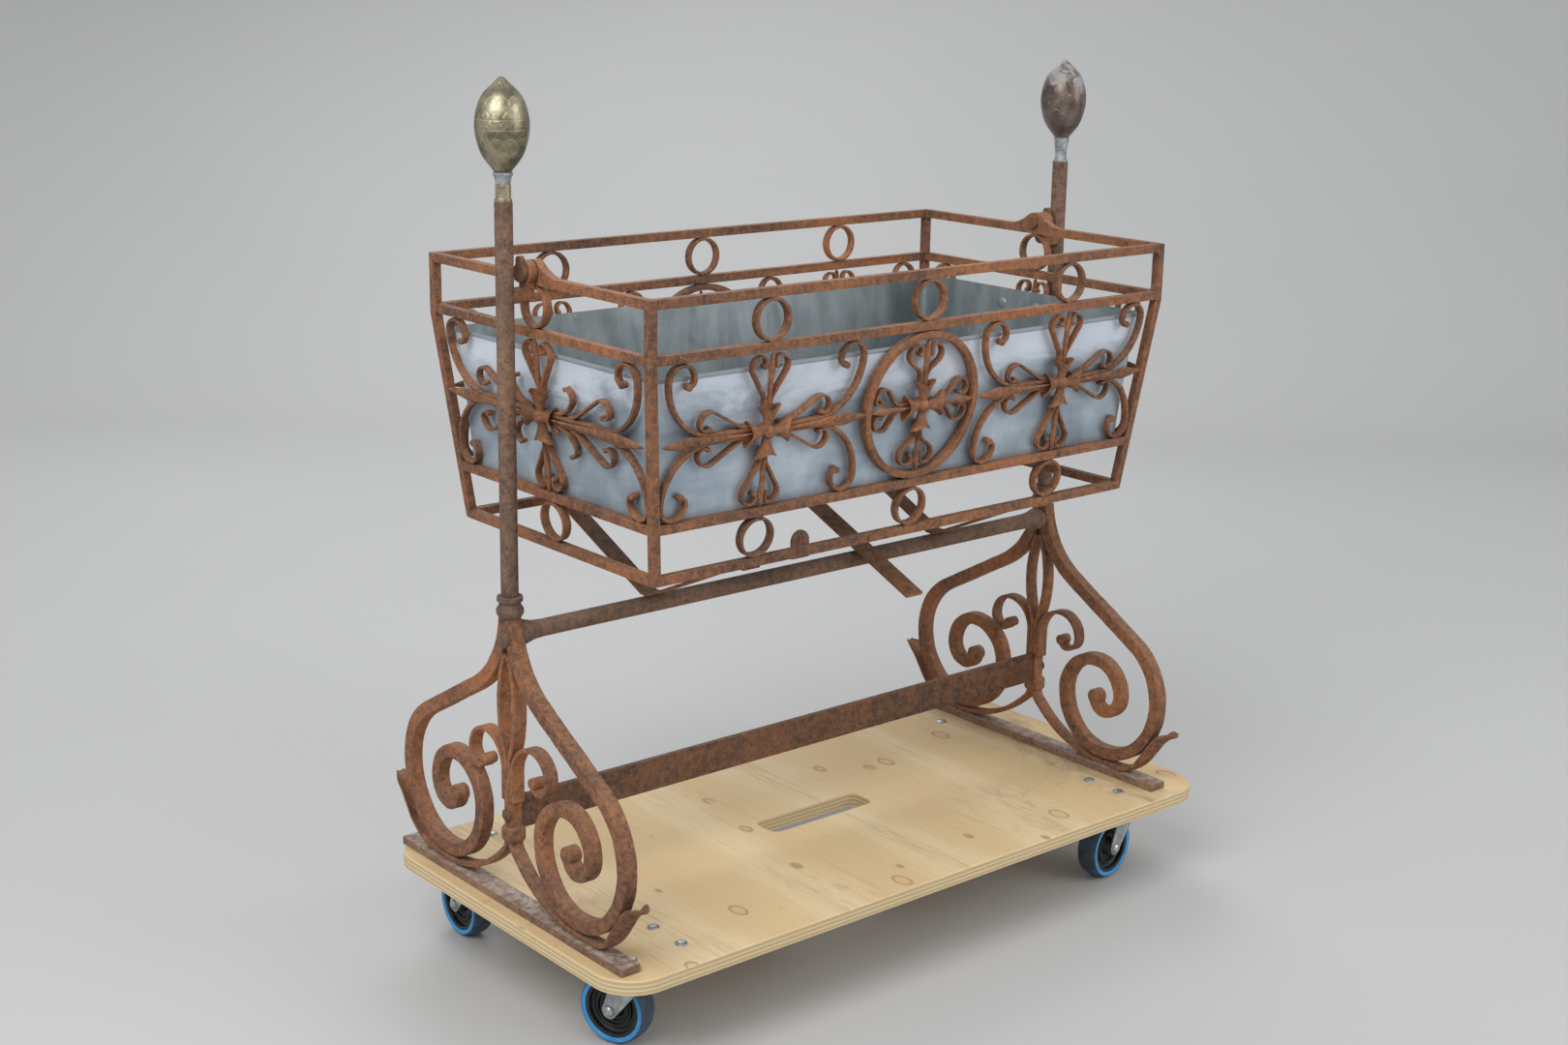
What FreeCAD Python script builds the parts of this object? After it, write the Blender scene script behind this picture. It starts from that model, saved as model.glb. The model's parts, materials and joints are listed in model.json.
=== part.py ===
import FreeCAD, Part
import math
import os
from FreeCAD import Matrix, Placement, Rotation, Vector

# Wheeled caddy that carries a swinging wrought-iron planter.
# Millimetres. +X runs along the long side, +Y to the back, +Z up.
# The origin is on the floor, under the middle of the deck's length and of the iron stand's width.

# Castors: wheel, fork and top plate
wheel_radius = 50.0
wheel_shoulder_radius = 46.5
tyre_width = 32.0
tyre_inner_radius = 40.0
hub_rim_inner_radius = 35.0
hub_rim_width = 29.0
hub_web_width = 12.0
hub_boss_radius = 13.0
hub_boss_width = 36.0
hub_rib_radius = 24.0
hub_rib_thickness = 2.4
hub_rib_width = 20.0
castor_height = 125.0
castor_trail = 38.0
castor_plate_length = 100.0
castor_plate_width = 85.0
castor_plate_thickness = 3.0
castor_plate_corner = 8.0
castor_hole_pitch_x = 80.0
castor_hole_pitch_y = 60.0
race_radius = 27.0
race_height = 6.0
ball_radius = 3.0
ball_circle_radius = 20.0
ball_flat_gap = 0.35
fork_sheet = 3.0
fork_crown_radius = 30.0
fork_crown_front = 28.0
fork_crown_back = 26.0
fork_eye_radius = 11.0
fork_front_angle = 14.5
fork_back_angle = 218.5
fork_side_gap = 1.0
fork_crown_gap = 0.7
fork_pin_gap = 0.3
kingpin_radius = 6.0
kingpin_nut_radius = 9.5
kingpin_nut_height = 6.0
kingpin_nut_gap = 0.4
axle_radius = 5.0
axle_head_radius = 8.0
axle_head_height = 5.0
castor_half_span_y = 195.0
castor_headings = {
    "front_left": 112.6,
    "front_right": 187.4,
    "back_left": 88.2,
    "back_right": 140.0,
}

# Plywood deck, its hand slot and the castor bolts
deck_length = 1119.0
deck_width = 567.0
deck_thickness = 21.0
deck_corner_radius = 60.0
deck_edge_chamfer = 1.5
deck_shift_x = 25.0
deck_shift_y = -8.0
slot_length = 195.0
slot_width = 48.0
slot_corner_radius = 14.0
bolt_radius = 4.0
bolt_head_radius = 8.4
bolt_head_height = 4.0
nut_radius = 7.5
nut_height = 6.5
bolt_tip_length = 2.0
foot_bolt_gap = 0.3

# Iron stand: feet, scroll legs, leaf bars and posts
post_side_gap = 28.6
foot_length = 531.0
foot_width = 30.0
foot_offset = 1.2
foot_height = 12.0
leg_bar = 20.0
leg_top = 402.0
leg_neck_offset = 4.5
leg_neck_heading = -84.5
leg_neck_radius = 140.0
leg_neck_turn = 55.0
leg_slope_length = 149.0
leg_volute_radii = (101.0, 84.0, 62.0, 50.0, 30.0, 20.0)
leg_eye_radius = 12.0
leaf_strip = 7.5
leaf_bar_depth = 20.0
almond_top = 352.0
almond_radius = 186.0
almond_half_angle = 22.8
almond_tail_angle = 22.0
almond_tail_radius = 15.0
toe_start_height = 98.0
toe_root_radius = 30.0
toe_root_angle = 42.0
toe_sole_start = 155.0
toe_sole_length = 30.0
toe_rise_radius = 100.0
toe_rise_angle = 42.0
toe_rise_length = 34.0
toe_tip_radius = 90.0
toe_tip_angle = 22.0
toe_leaf_width = 34.0
toe_leaf_start = 205.0
toe_leaf_widest = 252.0
toe_leaf_swell = 15.0
toe_leaf_taper = 11.2
toe_tip_half = 0.6
small_scroll_strip = 6.0
small_scroll_depth = 20.0
small_scroll_foot = 150.0
small_scroll_stem = 40.0
small_scroll_radii = (45.0, 35.0, 21.0, 12.0)
small_scroll_eye_radius = 8.0
end_collar_bottom = 91.0
end_collar_height = 23.0
end_collar_width = 27.0
end_collar_depth = 26.0
end_collar_rounding = 6.0
end_screw_height = 130.0
end_screw_radius = 2.5
end_screw_head_radius = 9.0
end_screw_head_height = 5.0
end_screw_bite = 18.0
screw_slot_angle = 28.0
screw_slot_width = 1.8
screw_slot_depth = 1.6
leg_rivet_height = 373.0
leg_rivet_radius = 4.0
leg_rivet_head_radius = 11.0
leg_rivet_head_height = 6.0
leg_rivet_bite = 12.0
post_radius = 11.5
post_top = 938.6
post_spigot_radius = 6.5
post_ring_radius = 17.0
post_ring_height = 7.0
post_ring_gap = 3.0
post_bulb_radius = 18.0
post_bulb_height = 20.0
post_bulb_neck_radius = 13.8
post_bulb_shoulders = (7.0, 12.4)

# Stretchers between the two ends
upper_stretcher_radius = 11.8
upper_stretcher_bottom = 367.5
upper_stretcher_flare_radius = 17.0
upper_stretcher_flare_length = 38.0
upper_stretcher_flare_rim = 8.0
upper_stretcher_flare_middle = (13.0, 23.0)
lower_stretcher_height = 45.8
lower_stretcher_thickness = 8.0
lower_stretcher_bottom = 108.0

# Finials with their ferrules and cups
ferrule_radius = 9.8
ferrule_foot_radius = 11.0
ferrule_foot_height = 4.0
ferrule_top = 960.0
cup_top = 974.5
cup_foot_radius = 9.0
cup_mouth_radius = 12.6
cup_middle_radius = 10.4
cup_lip_height = 3.0
tall_cup_foot_radius = 9.0
tall_cup_mouth_radius = 11.5
finial_radius = 34.0
finial_widest = 1032.0
finial_top = 1090.5
finial_foot_radius = 10.5
finial_tip_radius = 3.5
finial_socket_depth = 12.0
finial_lower_shoulder = (27.2, 998.65)
finial_upper_shoulder = (25.84, 1064.8)

# Cradle frame of square bar
cradle_bar = 12.0
cradle_top_half_x = 459.9
cradle_top_half_y = 247.35
cradle_lean_x = 30.4
cradle_lean_y = 31.95
top_rail_top = 844.4
upper_rail_bottom = 764.3
lower_rail_bottom = 548.5
bottom_rail_bottom = 480.6
hump_half_length = 50.0
hump_peak = 864.0
hump_crown_half = 12.0
hump_crown_drop = 4.0
hump_brow_half = 6.6
hump_brow_drop = 1.0
hump_flank = (5.9, 28.0)
hump_tip_half = 0.6
hump_root = 1.0

# Pivots of the cradle
pivot_height = 848.5
pivot_pin_radius = 6.0
pivot_running_clearance = 0.05
pivot_head_radius = 11.8
pivot_head_thickness = 7.5
pivot_tab_width = 12.0
pivot_tab_top = 870.0
pivot_tail_radius = 9.0
pivot_tail_thickness = 4.0
pivot_tail_gap = 0.5
bracket_thickness = 11.0
bracket_width = 20.0
bracket_arm_height = 15.0
bracket_bend_radius = 14.0
bracket_eye_radius = 15.5
bracket_flat = 0.5
bracket_side_gap = 1.6
bracket_head_gap = 0.3

# Ornament of the cradle panels
ring_bar = 4.5
circle_bar = 9.5
circle_depth = 12.0
circle_proud = 1.0
motif_inset = 1.75
scroll_strip = 5.0
heart_strip = 3.5
heart_stem = 3.9
heart_run_end = 35.5
side_heart_run = 4.0
heart_bend_radius = 18.0
heart_lobe = 13.5
heart_curl = 8.0
heart_curl_turn = 130.0
heart_ball_radius = 3.1
heart_reach = 97.0
heart_half_width = 29.0
small_heart_reach = 83.0
side_heart_lobe = 15.0
side_heart_curl = 9.0
wide_side_heart = (22.0, 105.0, 35.0)
end_side_heart = (62.0, 148.0, 43.0)
back_curl_bend_radius = 34.0
back_curl_bend = 48.0
back_curl_slope = 8.0
back_curl_radius = 11.0
scroll_depth = 10.5
scroll_recess = 1.0
boss_radius = 9.0
boss_front = 11.0
boss_back = -11.0
petal_root = 5.0
petal_length = 34.0
petal_neck_half = 4.5
petal_half = 18.0
petal_notch = 8.0
petal_front = 9.0
petal_waist = (19.7, 6.3)
petal_ridge = (20.4, 4.95)
petal_root_front = 4.05
petal_cleft = 0.4
boss_rim_front = 4.4
boss_shoulder = (6.3, 8.8)
spear_thickness = 3.5
spear_half_width = 9.0
spoon_half_width = 5.4
spoon_depth = 11.0
spear_root_half = 1.5
spear_widest_share = 0.74
spear_swell_share = 0.36
spear_taper_share = 0.72
spear_tip_half = 0.4
petal_stem_gap = 4.0
stem_start = 22.0
long_stem = 2.0
long_curl_radius = 19.5
long_curl_inner = 9.0
ornament_gap = 0.4
rail_clearance = 0.1
end_ball_radius = 4.5

# Straps and lug below the cradle
strap_thickness = 3.5
strap_width = 28.0
strap_positions = (-272.0, 265.0)
strap_low_gap = 1.4
strap_end_inset = 2.0
strap_flat_length = 19.0
strap_flat_foot = 14.0
loose_strap_position = 108.0
loose_strap_thickness = 4.0
loose_strap_width = 32.0
loose_strap_crossing = 402.0
loose_strap_front = 120.0
loose_strap_drop = 49.0
loose_strap_hole_radius = 3.0
loose_strap_hole_inset = 14.0
lug_position = -182.0
lug_radius = 15.0
lug_thickness = 4.0
lug_height = 20.0
lug_drop = 6.0
lug_gap = 0.1

# Zinc liner
liner_sheet = 1.5
liner_rim_top = 745.0
liner_floor = 546.0
liner_rim_gap_x = 19.9
liner_rim_gap_y = 17.85
liner_seat_gap = 0.3
liner_bead = 5.0
liner_bead_overhang = 2.5
liner_bead_rise = 1.5
liner_bead_rounding = 2.2
liner_rivet_radius = 9.0
liner_rivet_height = 2.5
liner_rivet_drop = 24.0
liner_rivet_pitch = 70.0
liner_rivet_shift = 13.0
liner_rivet_rim = 0.5
liner_rivet_shoulder = (6.3, 2.5)

# Values worked out from the driving dimensions
deck_bottom = castor_height
deck_top = deck_bottom + deck_thickness
half_span = cradle_top_half_x + post_side_gap + post_radius
cradle_foot_half_x = cradle_top_half_x - cradle_lean_x
cradle_foot_half_y = cradle_top_half_y - cradle_lean_y
liner_rim_half_x = cradle_top_half_x - liner_rim_gap_x
liner_rim_half_y = cradle_top_half_y - liner_rim_gap_y
foot_inner = half_span + foot_offset - foot_width / 2
castor_half_span_x = foot_inner - foot_bolt_gap - bolt_head_radius - castor_hole_pitch_x / 2 + deck_shift_x
leg_outer = half_span + leg_bar / 2
leg_inner = half_span - leg_bar / 2
HALF_TURN = 180.0
QUARTER_TURN = 90.0
DOME_SHOULDERS = ((0.93, 0.45), (0.6, 0.85))
SIDES = {"left": -1.0, "right": 1.0}
CORNERS = {
    "front_left": (-1.0, -1.0),
    "front_right": (1.0, -1.0),
    "back_left": (-1.0, 1.0),
    "back_right": (1.0, 1.0),
}


def box(x0, x1, y0, y1, z0, z1):
    """A box between two opposite corners."""
    return Part.makeBox(x1 - x0, y1 - y0, z1 - z0, Vector(x0, y0, z0))


def rod(radius, start, end):
    """A cylinder of a radius between two points."""
    axis = Vector(*end) - Vector(*start)
    return Part.makeCylinder(radius, axis.Length, Vector(*start), axis)


def lathe(profile, origin=(0, 0, 0), axis=(0, 0, 1)):
    """A closed (radius, height) outline turned about an axis."""
    points = [Vector(r, 0, h) for r, h in profile]
    face = Part.Face(Part.makePolygon(points + points[:1]))
    solid = face.revolve(Vector(0, 0, 0), Vector(0, 0, 1), 360)
    solid.Placement = Placement(Vector(*origin), Rotation(Vector(0, 0, 1), Vector(*axis)))
    return solid


def dome(radius, height, origin, axis=(0, 0, 1)):
    """A low dome on a flat foot, such as a bolt's or a rivet's head."""
    shoulders = [(radius * across, height * up) for across, up in DOME_SHOULDERS]
    return lathe([(0, 0), (radius, 0)] + shoulders + [(0, height)], origin, axis)


def curve(points):
    """A line through two (u, v) points or an arc through three."""
    points = [Vector(u, v, 0) for u, v in points]
    return Part.Arc(*points).toShape() if len(points) == 3 else Part.makeLine(*points)


def symmetric_outline(steps):
    """A face between a chain of lines and arcs and its reflection in v = 0."""
    far = [tuple((u, -v) for u, v in reversed(step)) for step in reversed(steps)]
    tip_up, tip_down = steps[-1][-1], far[0][0]
    root_down, root_up = far[-1][-1], steps[0][0]
    chain = list(steps) + [(tip_up, tip_down)] + far + [(root_down, root_up)]
    return Part.Face(Part.Wire([curve(step) for step in chain if math.dist(step[0], step[-1]) > 0.001]))


def mirrored(shape, x=1.0, y=1.0):
    """The shape reflected in the planes whose factor is -1."""
    if x < 0:
        shape = shape.mirror(Vector(0, 0, 0), Vector(1, 0, 0))
    if y < 0:
        shape = shape.mirror(Vector(0, 0, 0), Vector(0, 1, 0))
    return shape


def moved(shape, x=0.0, y=0.0, z=0.0):
    """A copy of the shape shifted by a vector."""
    copy = shape.copy()
    copy.translate(Vector(x, y, z))
    return copy


def save(name, shapes):
    """Write one node as a STEP file of one or more solids."""
    solids = []
    for shape in shapes if isinstance(shapes, list) else [shapes]:
        solids += shape.Solids
    node = Part.makeCompound(solids)
    node.translate(Vector(-deck_shift_x, 0, 0))
    node.exportStep("parts/" + name + ".step")


class Path:
    """A chain of lines and arcs in a plane, drawn like a turtle."""

    def __init__(self, u, v, heading):
        self.u = u
        self.v = v
        self.heading = heading
        self.edges = []

    def point(self):
        """Where the chain has reached."""
        return Vector(self.u, self.v, 0)

    def line(self, length):
        """Go straight on."""
        start = self.point()
        self.u += length * math.cos(math.radians(self.heading))
        self.v += length * math.sin(math.radians(self.heading))
        self.edges.append(Part.makeLine(start, self.point()))
        return self

    def arc(self, radius, turn):
        """Turn by an angle, to the left where it is positive."""
        side = 1.0 if turn > 0 else -1.0
        normal = math.radians(self.heading + 90 * side)
        centre_u = self.u + radius * math.cos(normal)
        centre_v = self.v + radius * math.sin(normal)
        points = [self.point()]
        for share in (0.5, 1.0):
            angle = math.radians(self.heading - 90 * side + turn * share)
            points.append(Vector(centre_u + radius * math.cos(angle), centre_v + radius * math.sin(angle), 0))
        self.edges.append(Part.Arc(*points).toShape())
        self.u, self.v = points[2].x, points[2].y
        self.heading += turn
        return self

    def volute(self, radii, turn):
        """Wind inwards through arcs of a quarter turn."""
        for radius in radii:
            self.arc(radius, turn)
        return self

    def band(self, thickness, depth):
        """A bar along the chain, from 0 to its depth above the plane."""
        wire = Part.Wire(self.edges)
        outline = wire.makeOffset2D(thickness / 2, 0, False, False, False)
        return Part.Face(outline).extrude(Vector(0, 0, depth))


def drum(path, radius, depth):
    """A round end at the point that a path has reached."""
    return Part.makeCylinder(radius, depth, path.point())


def transformed(shape, matrix):
    """A copy of the shape under a rigid matrix."""
    copy = shape.copy()
    copy.transformShape(matrix)
    return copy


def stand_up(shape, x_start):
    """Turn a plane drawing (u, v, depth) so that u lies on Y, v on Z above the deck and depth on X."""
    return transformed(shape, Matrix(0, 0, 1, x_start, 1, 0, 0, 0, 0, 1, 0, deck_top))


# Deck and castors

def castor_centre(corner):
    """The swivel axis of a castor in the plan."""
    sign_x, sign_y = CORNERS[corner]
    return (deck_shift_x + sign_x * castor_half_span_x, deck_shift_y + sign_y * castor_half_span_y)


def plate_holes():
    """The four hole centres of a castor plate about its swivel axis."""
    half_x = castor_hole_pitch_x / 2
    half_y = castor_hole_pitch_y / 2
    return [(sx * half_x, sy * half_y) for sx in (-1, 1) for sy in (-1, 1)]


def rounded_plate(length, width, thickness, radius, x, y, z):
    """A flat plate with rounded corners, centred on a point."""
    plate = box(x - length / 2, x + length / 2, y - width / 2, y + width / 2, z, z + thickness)
    upright = [e for e in plate.Edges if abs(e.Vertexes[0].Z - e.Vertexes[1].Z) > thickness / 2]
    return plate.makeFillet(radius, upright)


def bolt_positions():
    """Every deck bolt's place in the plan."""
    places = []
    for corner in CORNERS:
        x, y = castor_centre(corner)
        places += [(x + dx, y + dy) for dx, dy in plate_holes()]
    return places


def make_deck():
    """Plywood board with its hand slot and bolt holes."""
    board = rounded_plate(deck_length, deck_width, deck_thickness, deck_corner_radius,
                          deck_shift_x, deck_shift_y, deck_bottom)
    rim = [e for e in board.Edges if abs(e.BoundBox.ZLength) < 0.01]
    board = board.makeChamfer(deck_edge_chamfer, rim)
    board = board.cut(rounded_plate(slot_length, slot_width, deck_thickness, slot_corner_radius,
                                    deck_shift_x, deck_shift_y, deck_bottom))
    for x, y in bolt_positions():
        board = board.cut(rod(bolt_radius, (x, y, deck_bottom), (x, y, deck_top)))
    save("plywood_deck", board)


def make_deck_bolts():
    """Dome-headed bolts through the deck and the nuts under the castor plates."""
    bolts = []
    nuts = []
    nut_top = deck_bottom - castor_plate_thickness
    tip = nut_top - nut_height - bolt_tip_length
    for x, y in bolt_positions():
        head = dome(bolt_head_radius, bolt_head_height, (x, y, deck_top))
        bolts.append(head.fuse(rod(bolt_radius, (x, y, tip), (x, y, deck_top))))
        angles = [k * HALF_TURN / 3 for k in range(6)]
        ring = [Rotation(Vector(0, 0, 1), angle).multVec(Vector(nut_radius, 0, 0)) for angle in angles]
        nut = Part.Face(Part.makePolygon(ring + ring[:1])).extrude(Vector(0, 0, nut_height))
        nut = moved(nut, x, y, nut_top - nut_height)
        nuts.append(nut.cut(rod(bolt_radius, (x, y, tip), (x, y, nut_top))))
    save("deck_bolts", bolts)
    save("deck_nuts", nuts)


def castor_plate():
    """Top plate with its ball race, about the swivel axis, below height 0."""
    plate = rounded_plate(castor_plate_length, castor_plate_width, castor_plate_thickness,
                          castor_plate_corner, 0, 0, -castor_plate_thickness)
    race_bottom = -castor_plate_thickness - race_height
    plate = plate.fuse(rod(race_radius, (0, 0, race_bottom), (0, 0, -castor_plate_thickness)))
    plate = plate.cut(rod(kingpin_radius, (0, 0, race_bottom), (0, 0, 0)))
    plate = plate.cut(Part.makeTorus(ball_circle_radius, ball_radius, Vector(0, 0, race_bottom)))
    for dx, dy in plate_holes():
        plate = plate.cut(rod(bolt_radius, (dx, dy, -castor_plate_thickness), (dx, dy, 0)))
    return plate


def swivel_bearing():
    """Kingpin with its nut, and the ring of balls, as separate solids."""
    race_bottom = -castor_plate_thickness - race_height
    nut_bottom = fork_crown_bottom() - kingpin_nut_height - kingpin_nut_gap
    pin = rod(kingpin_radius, (0, 0, nut_bottom), (0, 0, 0))
    pin = pin.fuse(rod(kingpin_nut_radius, (0, 0, nut_bottom), (0, 0, nut_bottom + kingpin_nut_height)))
    balls = Part.makeTorus(ball_circle_radius, ball_radius, Vector(0, 0, race_bottom))
    reach = ball_circle_radius + 2 * ball_radius
    below = box(-reach, reach, -reach, reach, race_bottom - reach, race_bottom - ball_flat_gap)
    return [pin, balls.cut(below)]


def fork_crown_top():
    """Upper face of the fork's crown."""
    return -castor_plate_thickness - race_height - fork_crown_gap


def fork_crown_bottom():
    """Lower face of the fork's crown."""
    return fork_crown_top() - fork_sheet


def castor_fork():
    """Fork with its crown, two legs and axle holes, heading +X."""
    inner = hub_boss_width / 2 + fork_side_gap
    outer = inner + fork_sheet
    axle_z = wheel_radius - castor_height
    crown = rod(fork_crown_radius, (0, 0, fork_crown_bottom()), (0, 0, fork_crown_top()))
    crown = crown.fuse(box(-fork_crown_back, fork_crown_front, -outer, outer,
                           fork_crown_bottom(), fork_crown_top()))
    axle = Vector(castor_trail, 0, axle_z)
    spoke = Vector(fork_eye_radius, 0, 0)
    outline = [
        Vector(-fork_crown_back, 0, fork_crown_bottom()),
        Vector(fork_crown_front, 0, fork_crown_bottom()),
        axle + Rotation(Vector(0, -1, 0), fork_front_angle).multVec(spoke),
        axle,
        axle + Rotation(Vector(0, -1, 0), fork_back_angle).multVec(spoke),
    ]
    cheek = Part.Face(Part.makePolygon(outline + outline[:1])).extrude(Vector(0, fork_sheet, 0))
    cheek = cheek.fuse(rod(fork_eye_radius, (castor_trail, 0, axle_z), (castor_trail, fork_sheet, axle_z)))
    fork = crown.fuse([moved(cheek, y=inner), moved(cheek, y=-outer)])
    fork = fork.cut(rod(kingpin_radius + fork_pin_gap, (0, 0, -castor_height), (0, 0, 0)))
    bore = rod(axle_radius, (castor_trail, -outer, axle_z), (castor_trail, outer, axle_z))
    return fork.cut(bore).removeSplitter()


def castor_axle():
    """Axle bolt with a domed head and a nut, through the fork."""
    axle_z = wheel_radius - castor_height
    reach = hub_boss_width / 2 + fork_side_gap + fork_sheet
    bolt = rod(axle_radius, (castor_trail, -reach, axle_z), (castor_trail, reach, axle_z))
    for side in (-1, 1):
        end = (castor_trail, side * reach, axle_z)
        bolt = bolt.fuse(dome(axle_head_radius, axle_head_height, end, (0, side, 0)))
    return bolt


def castor_hub():
    """Ribbed plastic wheel centre about the axle."""
    axle_z = wheel_radius - castor_height
    bore = axle_radius + pivot_running_clearance
    half = hub_boss_width / 2
    web = hub_web_width / 2
    rim = hub_rim_width / 2
    profile = [(bore, -half), (hub_boss_radius, -half), (hub_boss_radius, -web), (hub_rim_inner_radius, -web),
               (hub_rim_inner_radius, -rim), (tyre_inner_radius, -rim), (tyre_inner_radius, rim),
               (hub_rim_inner_radius, rim), (hub_rim_inner_radius, web), (hub_boss_radius, web),
               (hub_boss_radius, half), (bore, half)]
    hub = lathe(profile, (castor_trail, 0, axle_z), (0, 1, 0))
    rib = hub_rib_width / 2
    outer = hub_rib_radius + hub_rib_thickness
    ring = [(hub_rib_radius, -rib), (outer, -rib), (outer, rib), (hub_rib_radius, rib)]
    return hub.fuse(lathe(ring, (castor_trail, 0, axle_z), (0, 1, 0))).removeSplitter()


def castor_tyre():
    """Elastic tyre with a crowned tread."""
    axle_z = wheel_radius - castor_height
    half = tyre_width / 2
    shoulder_in = Vector(tyre_inner_radius, 0, -half)
    shoulder_out = Vector(wheel_shoulder_radius, 0, -half)
    crown = Vector(wheel_radius, 0, 0)
    far_out = Vector(wheel_shoulder_radius, 0, half)
    far_in = Vector(tyre_inner_radius, 0, half)
    edges = [
        Part.makeLine(shoulder_in, shoulder_out),
        Part.Arc(shoulder_out, crown, far_out).toShape(),
        Part.makeLine(far_out, far_in),
        Part.makeLine(far_in, shoulder_in),
    ]
    tyre = Part.Face(Part.Wire(edges)).revolve(Vector(0, 0, 0), Vector(0, 0, 1), 360)
    tyre.Placement = Placement(Vector(castor_trail, 0, axle_z), Rotation(Vector(0, 0, 1), Vector(0, 1, 0)))
    return tyre


def make_castors():
    """Four swivel castors, each turned to its own heading."""
    plates = []
    bearings = []
    makers = {"fork": castor_fork, "axle": castor_axle, "hub": castor_hub, "tyre": castor_tyre}
    for corner, heading in castor_headings.items():
        x, y = castor_centre(corner)
        plates.append(moved(castor_plate(), x, y, deck_bottom))
        bearings += [moved(piece, x, y, deck_bottom) for piece in swivel_bearing()]
        for name, maker in makers.items():
            piece = maker()
            piece.rotate(Vector(0, 0, 0), Vector(0, 0, 1), heading)
            save(name + "_" + corner, moved(piece, x, y, deck_bottom))
    save("castor_plates", plates)
    save("swivel_bearings", bearings)


# Ends of the stand

def make_feet():
    """Flat foot bars that lie on the deck."""
    feet = []
    for side in SIDES.values():
        x = side * (half_span + foot_offset)
        feet.append(box(x - foot_width / 2, x + foot_width / 2, -foot_length / 2, foot_length / 2,
                        deck_top, deck_top + foot_height))
    save("foot_bars", feet)


def scroll_leg():
    """One scroll leg as a plane drawing of its bar, toward +u."""
    path = Path(leg_neck_offset, leg_top, leg_neck_heading).arc(leg_neck_radius, leg_neck_turn)
    path.line(leg_slope_length)
    first, rest = leg_volute_radii[0], leg_volute_radii[1:]
    path.arc(first, -(HALF_TURN + path.heading))
    path.volute(rest, -QUARTER_TURN)
    bar = path.band(leg_bar, leg_bar).fuse(drum(path, leg_eye_radius, leg_bar))
    return bar.common(box(0, foot_length, 0, leg_top, 0, leg_bar)).removeSplitter()


def leaf_bar():
    """One thin bar: half of the almond, the shared stem and the upturned toe."""
    sole = foot_height + leaf_strip / 2
    path = Path(leaf_strip / 2, almond_top, almond_half_angle - QUARTER_TURN)
    path.arc(almond_radius, -almond_half_angle).arc(almond_radius, -almond_tail_angle)
    path.arc(almond_tail_radius, almond_tail_angle)
    path.line(path.v - toe_start_height)
    path.arc(toe_root_radius, QUARTER_TURN - toe_root_angle)
    # The run to the sole is a line and an arc that ends flat on the foot bar
    slope = math.radians(toe_root_angle)
    rise = path.v - sole
    run = toe_sole_start - path.u
    arc_share = (1 - math.cos(slope)) / math.sin(slope)
    straight = (rise - run * arc_share) / (math.sin(slope) - math.cos(slope) * arc_share)
    radius = (run - straight * math.cos(slope)) / math.sin(slope)
    path.line(straight).arc(radius, toe_root_angle)
    path.line(toe_sole_length).arc(toe_rise_radius, toe_rise_angle).line(toe_rise_length)
    path.arc(toe_tip_radius, -toe_tip_angle)
    strip = moved(path.band(leaf_strip, toe_leaf_width), z=-toe_leaf_width / 2)
    half = leaf_bar_depth / 2
    wide = toe_leaf_width / 2
    tip = path.u
    plan = symmetric_outline([
        ((0, half), (toe_leaf_start, half)),
        ((toe_leaf_start, half), ((toe_leaf_start + toe_leaf_widest) / 2, toe_leaf_swell),
         (toe_leaf_widest, wide)),
        ((toe_leaf_widest, wide), ((toe_leaf_widest + tip) / 2, toe_leaf_taper), (tip, toe_tip_half)),
    ])
    prism = plan.extrude(Vector(0, 0, leg_top))
    prism.rotate(Vector(0, 0, 0), Vector(1, 0, 0), -QUARTER_TURN)
    return moved(strip.common(prism), z=leaf_bar_depth / 2)


def small_scroll():
    """One small scroll that curls outward from the stem."""
    start = leaf_strip + small_scroll_strip / 2
    path = Path(start, small_scroll_foot, QUARTER_TURN).line(small_scroll_stem)
    path.volute(small_scroll_radii, -QUARTER_TURN)
    strip = path.band(small_scroll_strip, small_scroll_depth)
    return strip.fuse(drum(path, small_scroll_eye_radius, small_scroll_depth)).removeSplitter()


def leg_rivet_bore(x, side, extra=0.0):
    """Shank of a leg rivet, from the outside inwards."""
    z = deck_top + leg_rivet_height
    return rod(leg_rivet_radius + extra, (x, 0, z), (x - side * (leg_bar + leg_rivet_bite), 0, z))


def end_screw_shank(x, side, extra=0.0):
    """Shank of an end screw, from the outside inwards."""
    z = deck_top + end_screw_height
    reach = leaf_bar_depth + end_screw_bite
    return rod(end_screw_radius + extra, (x, 0, z), (x - side * reach, 0, z))


def end_collar(x):
    """Forged collar that holds the two leaf bars together."""
    half_depth = end_collar_depth / 2
    half_width = end_collar_width / 2
    z = deck_top + end_collar_bottom
    band = box(x - half_depth, x + half_depth, -half_width, half_width, z, z + end_collar_height)
    band = band.makeFillet(end_collar_rounding, band.Edges)
    return band.cut(box(x - leaf_bar_depth / 2, x + leaf_bar_depth / 2, -leaf_strip, leaf_strip,
                        z, z + end_collar_height))


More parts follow.
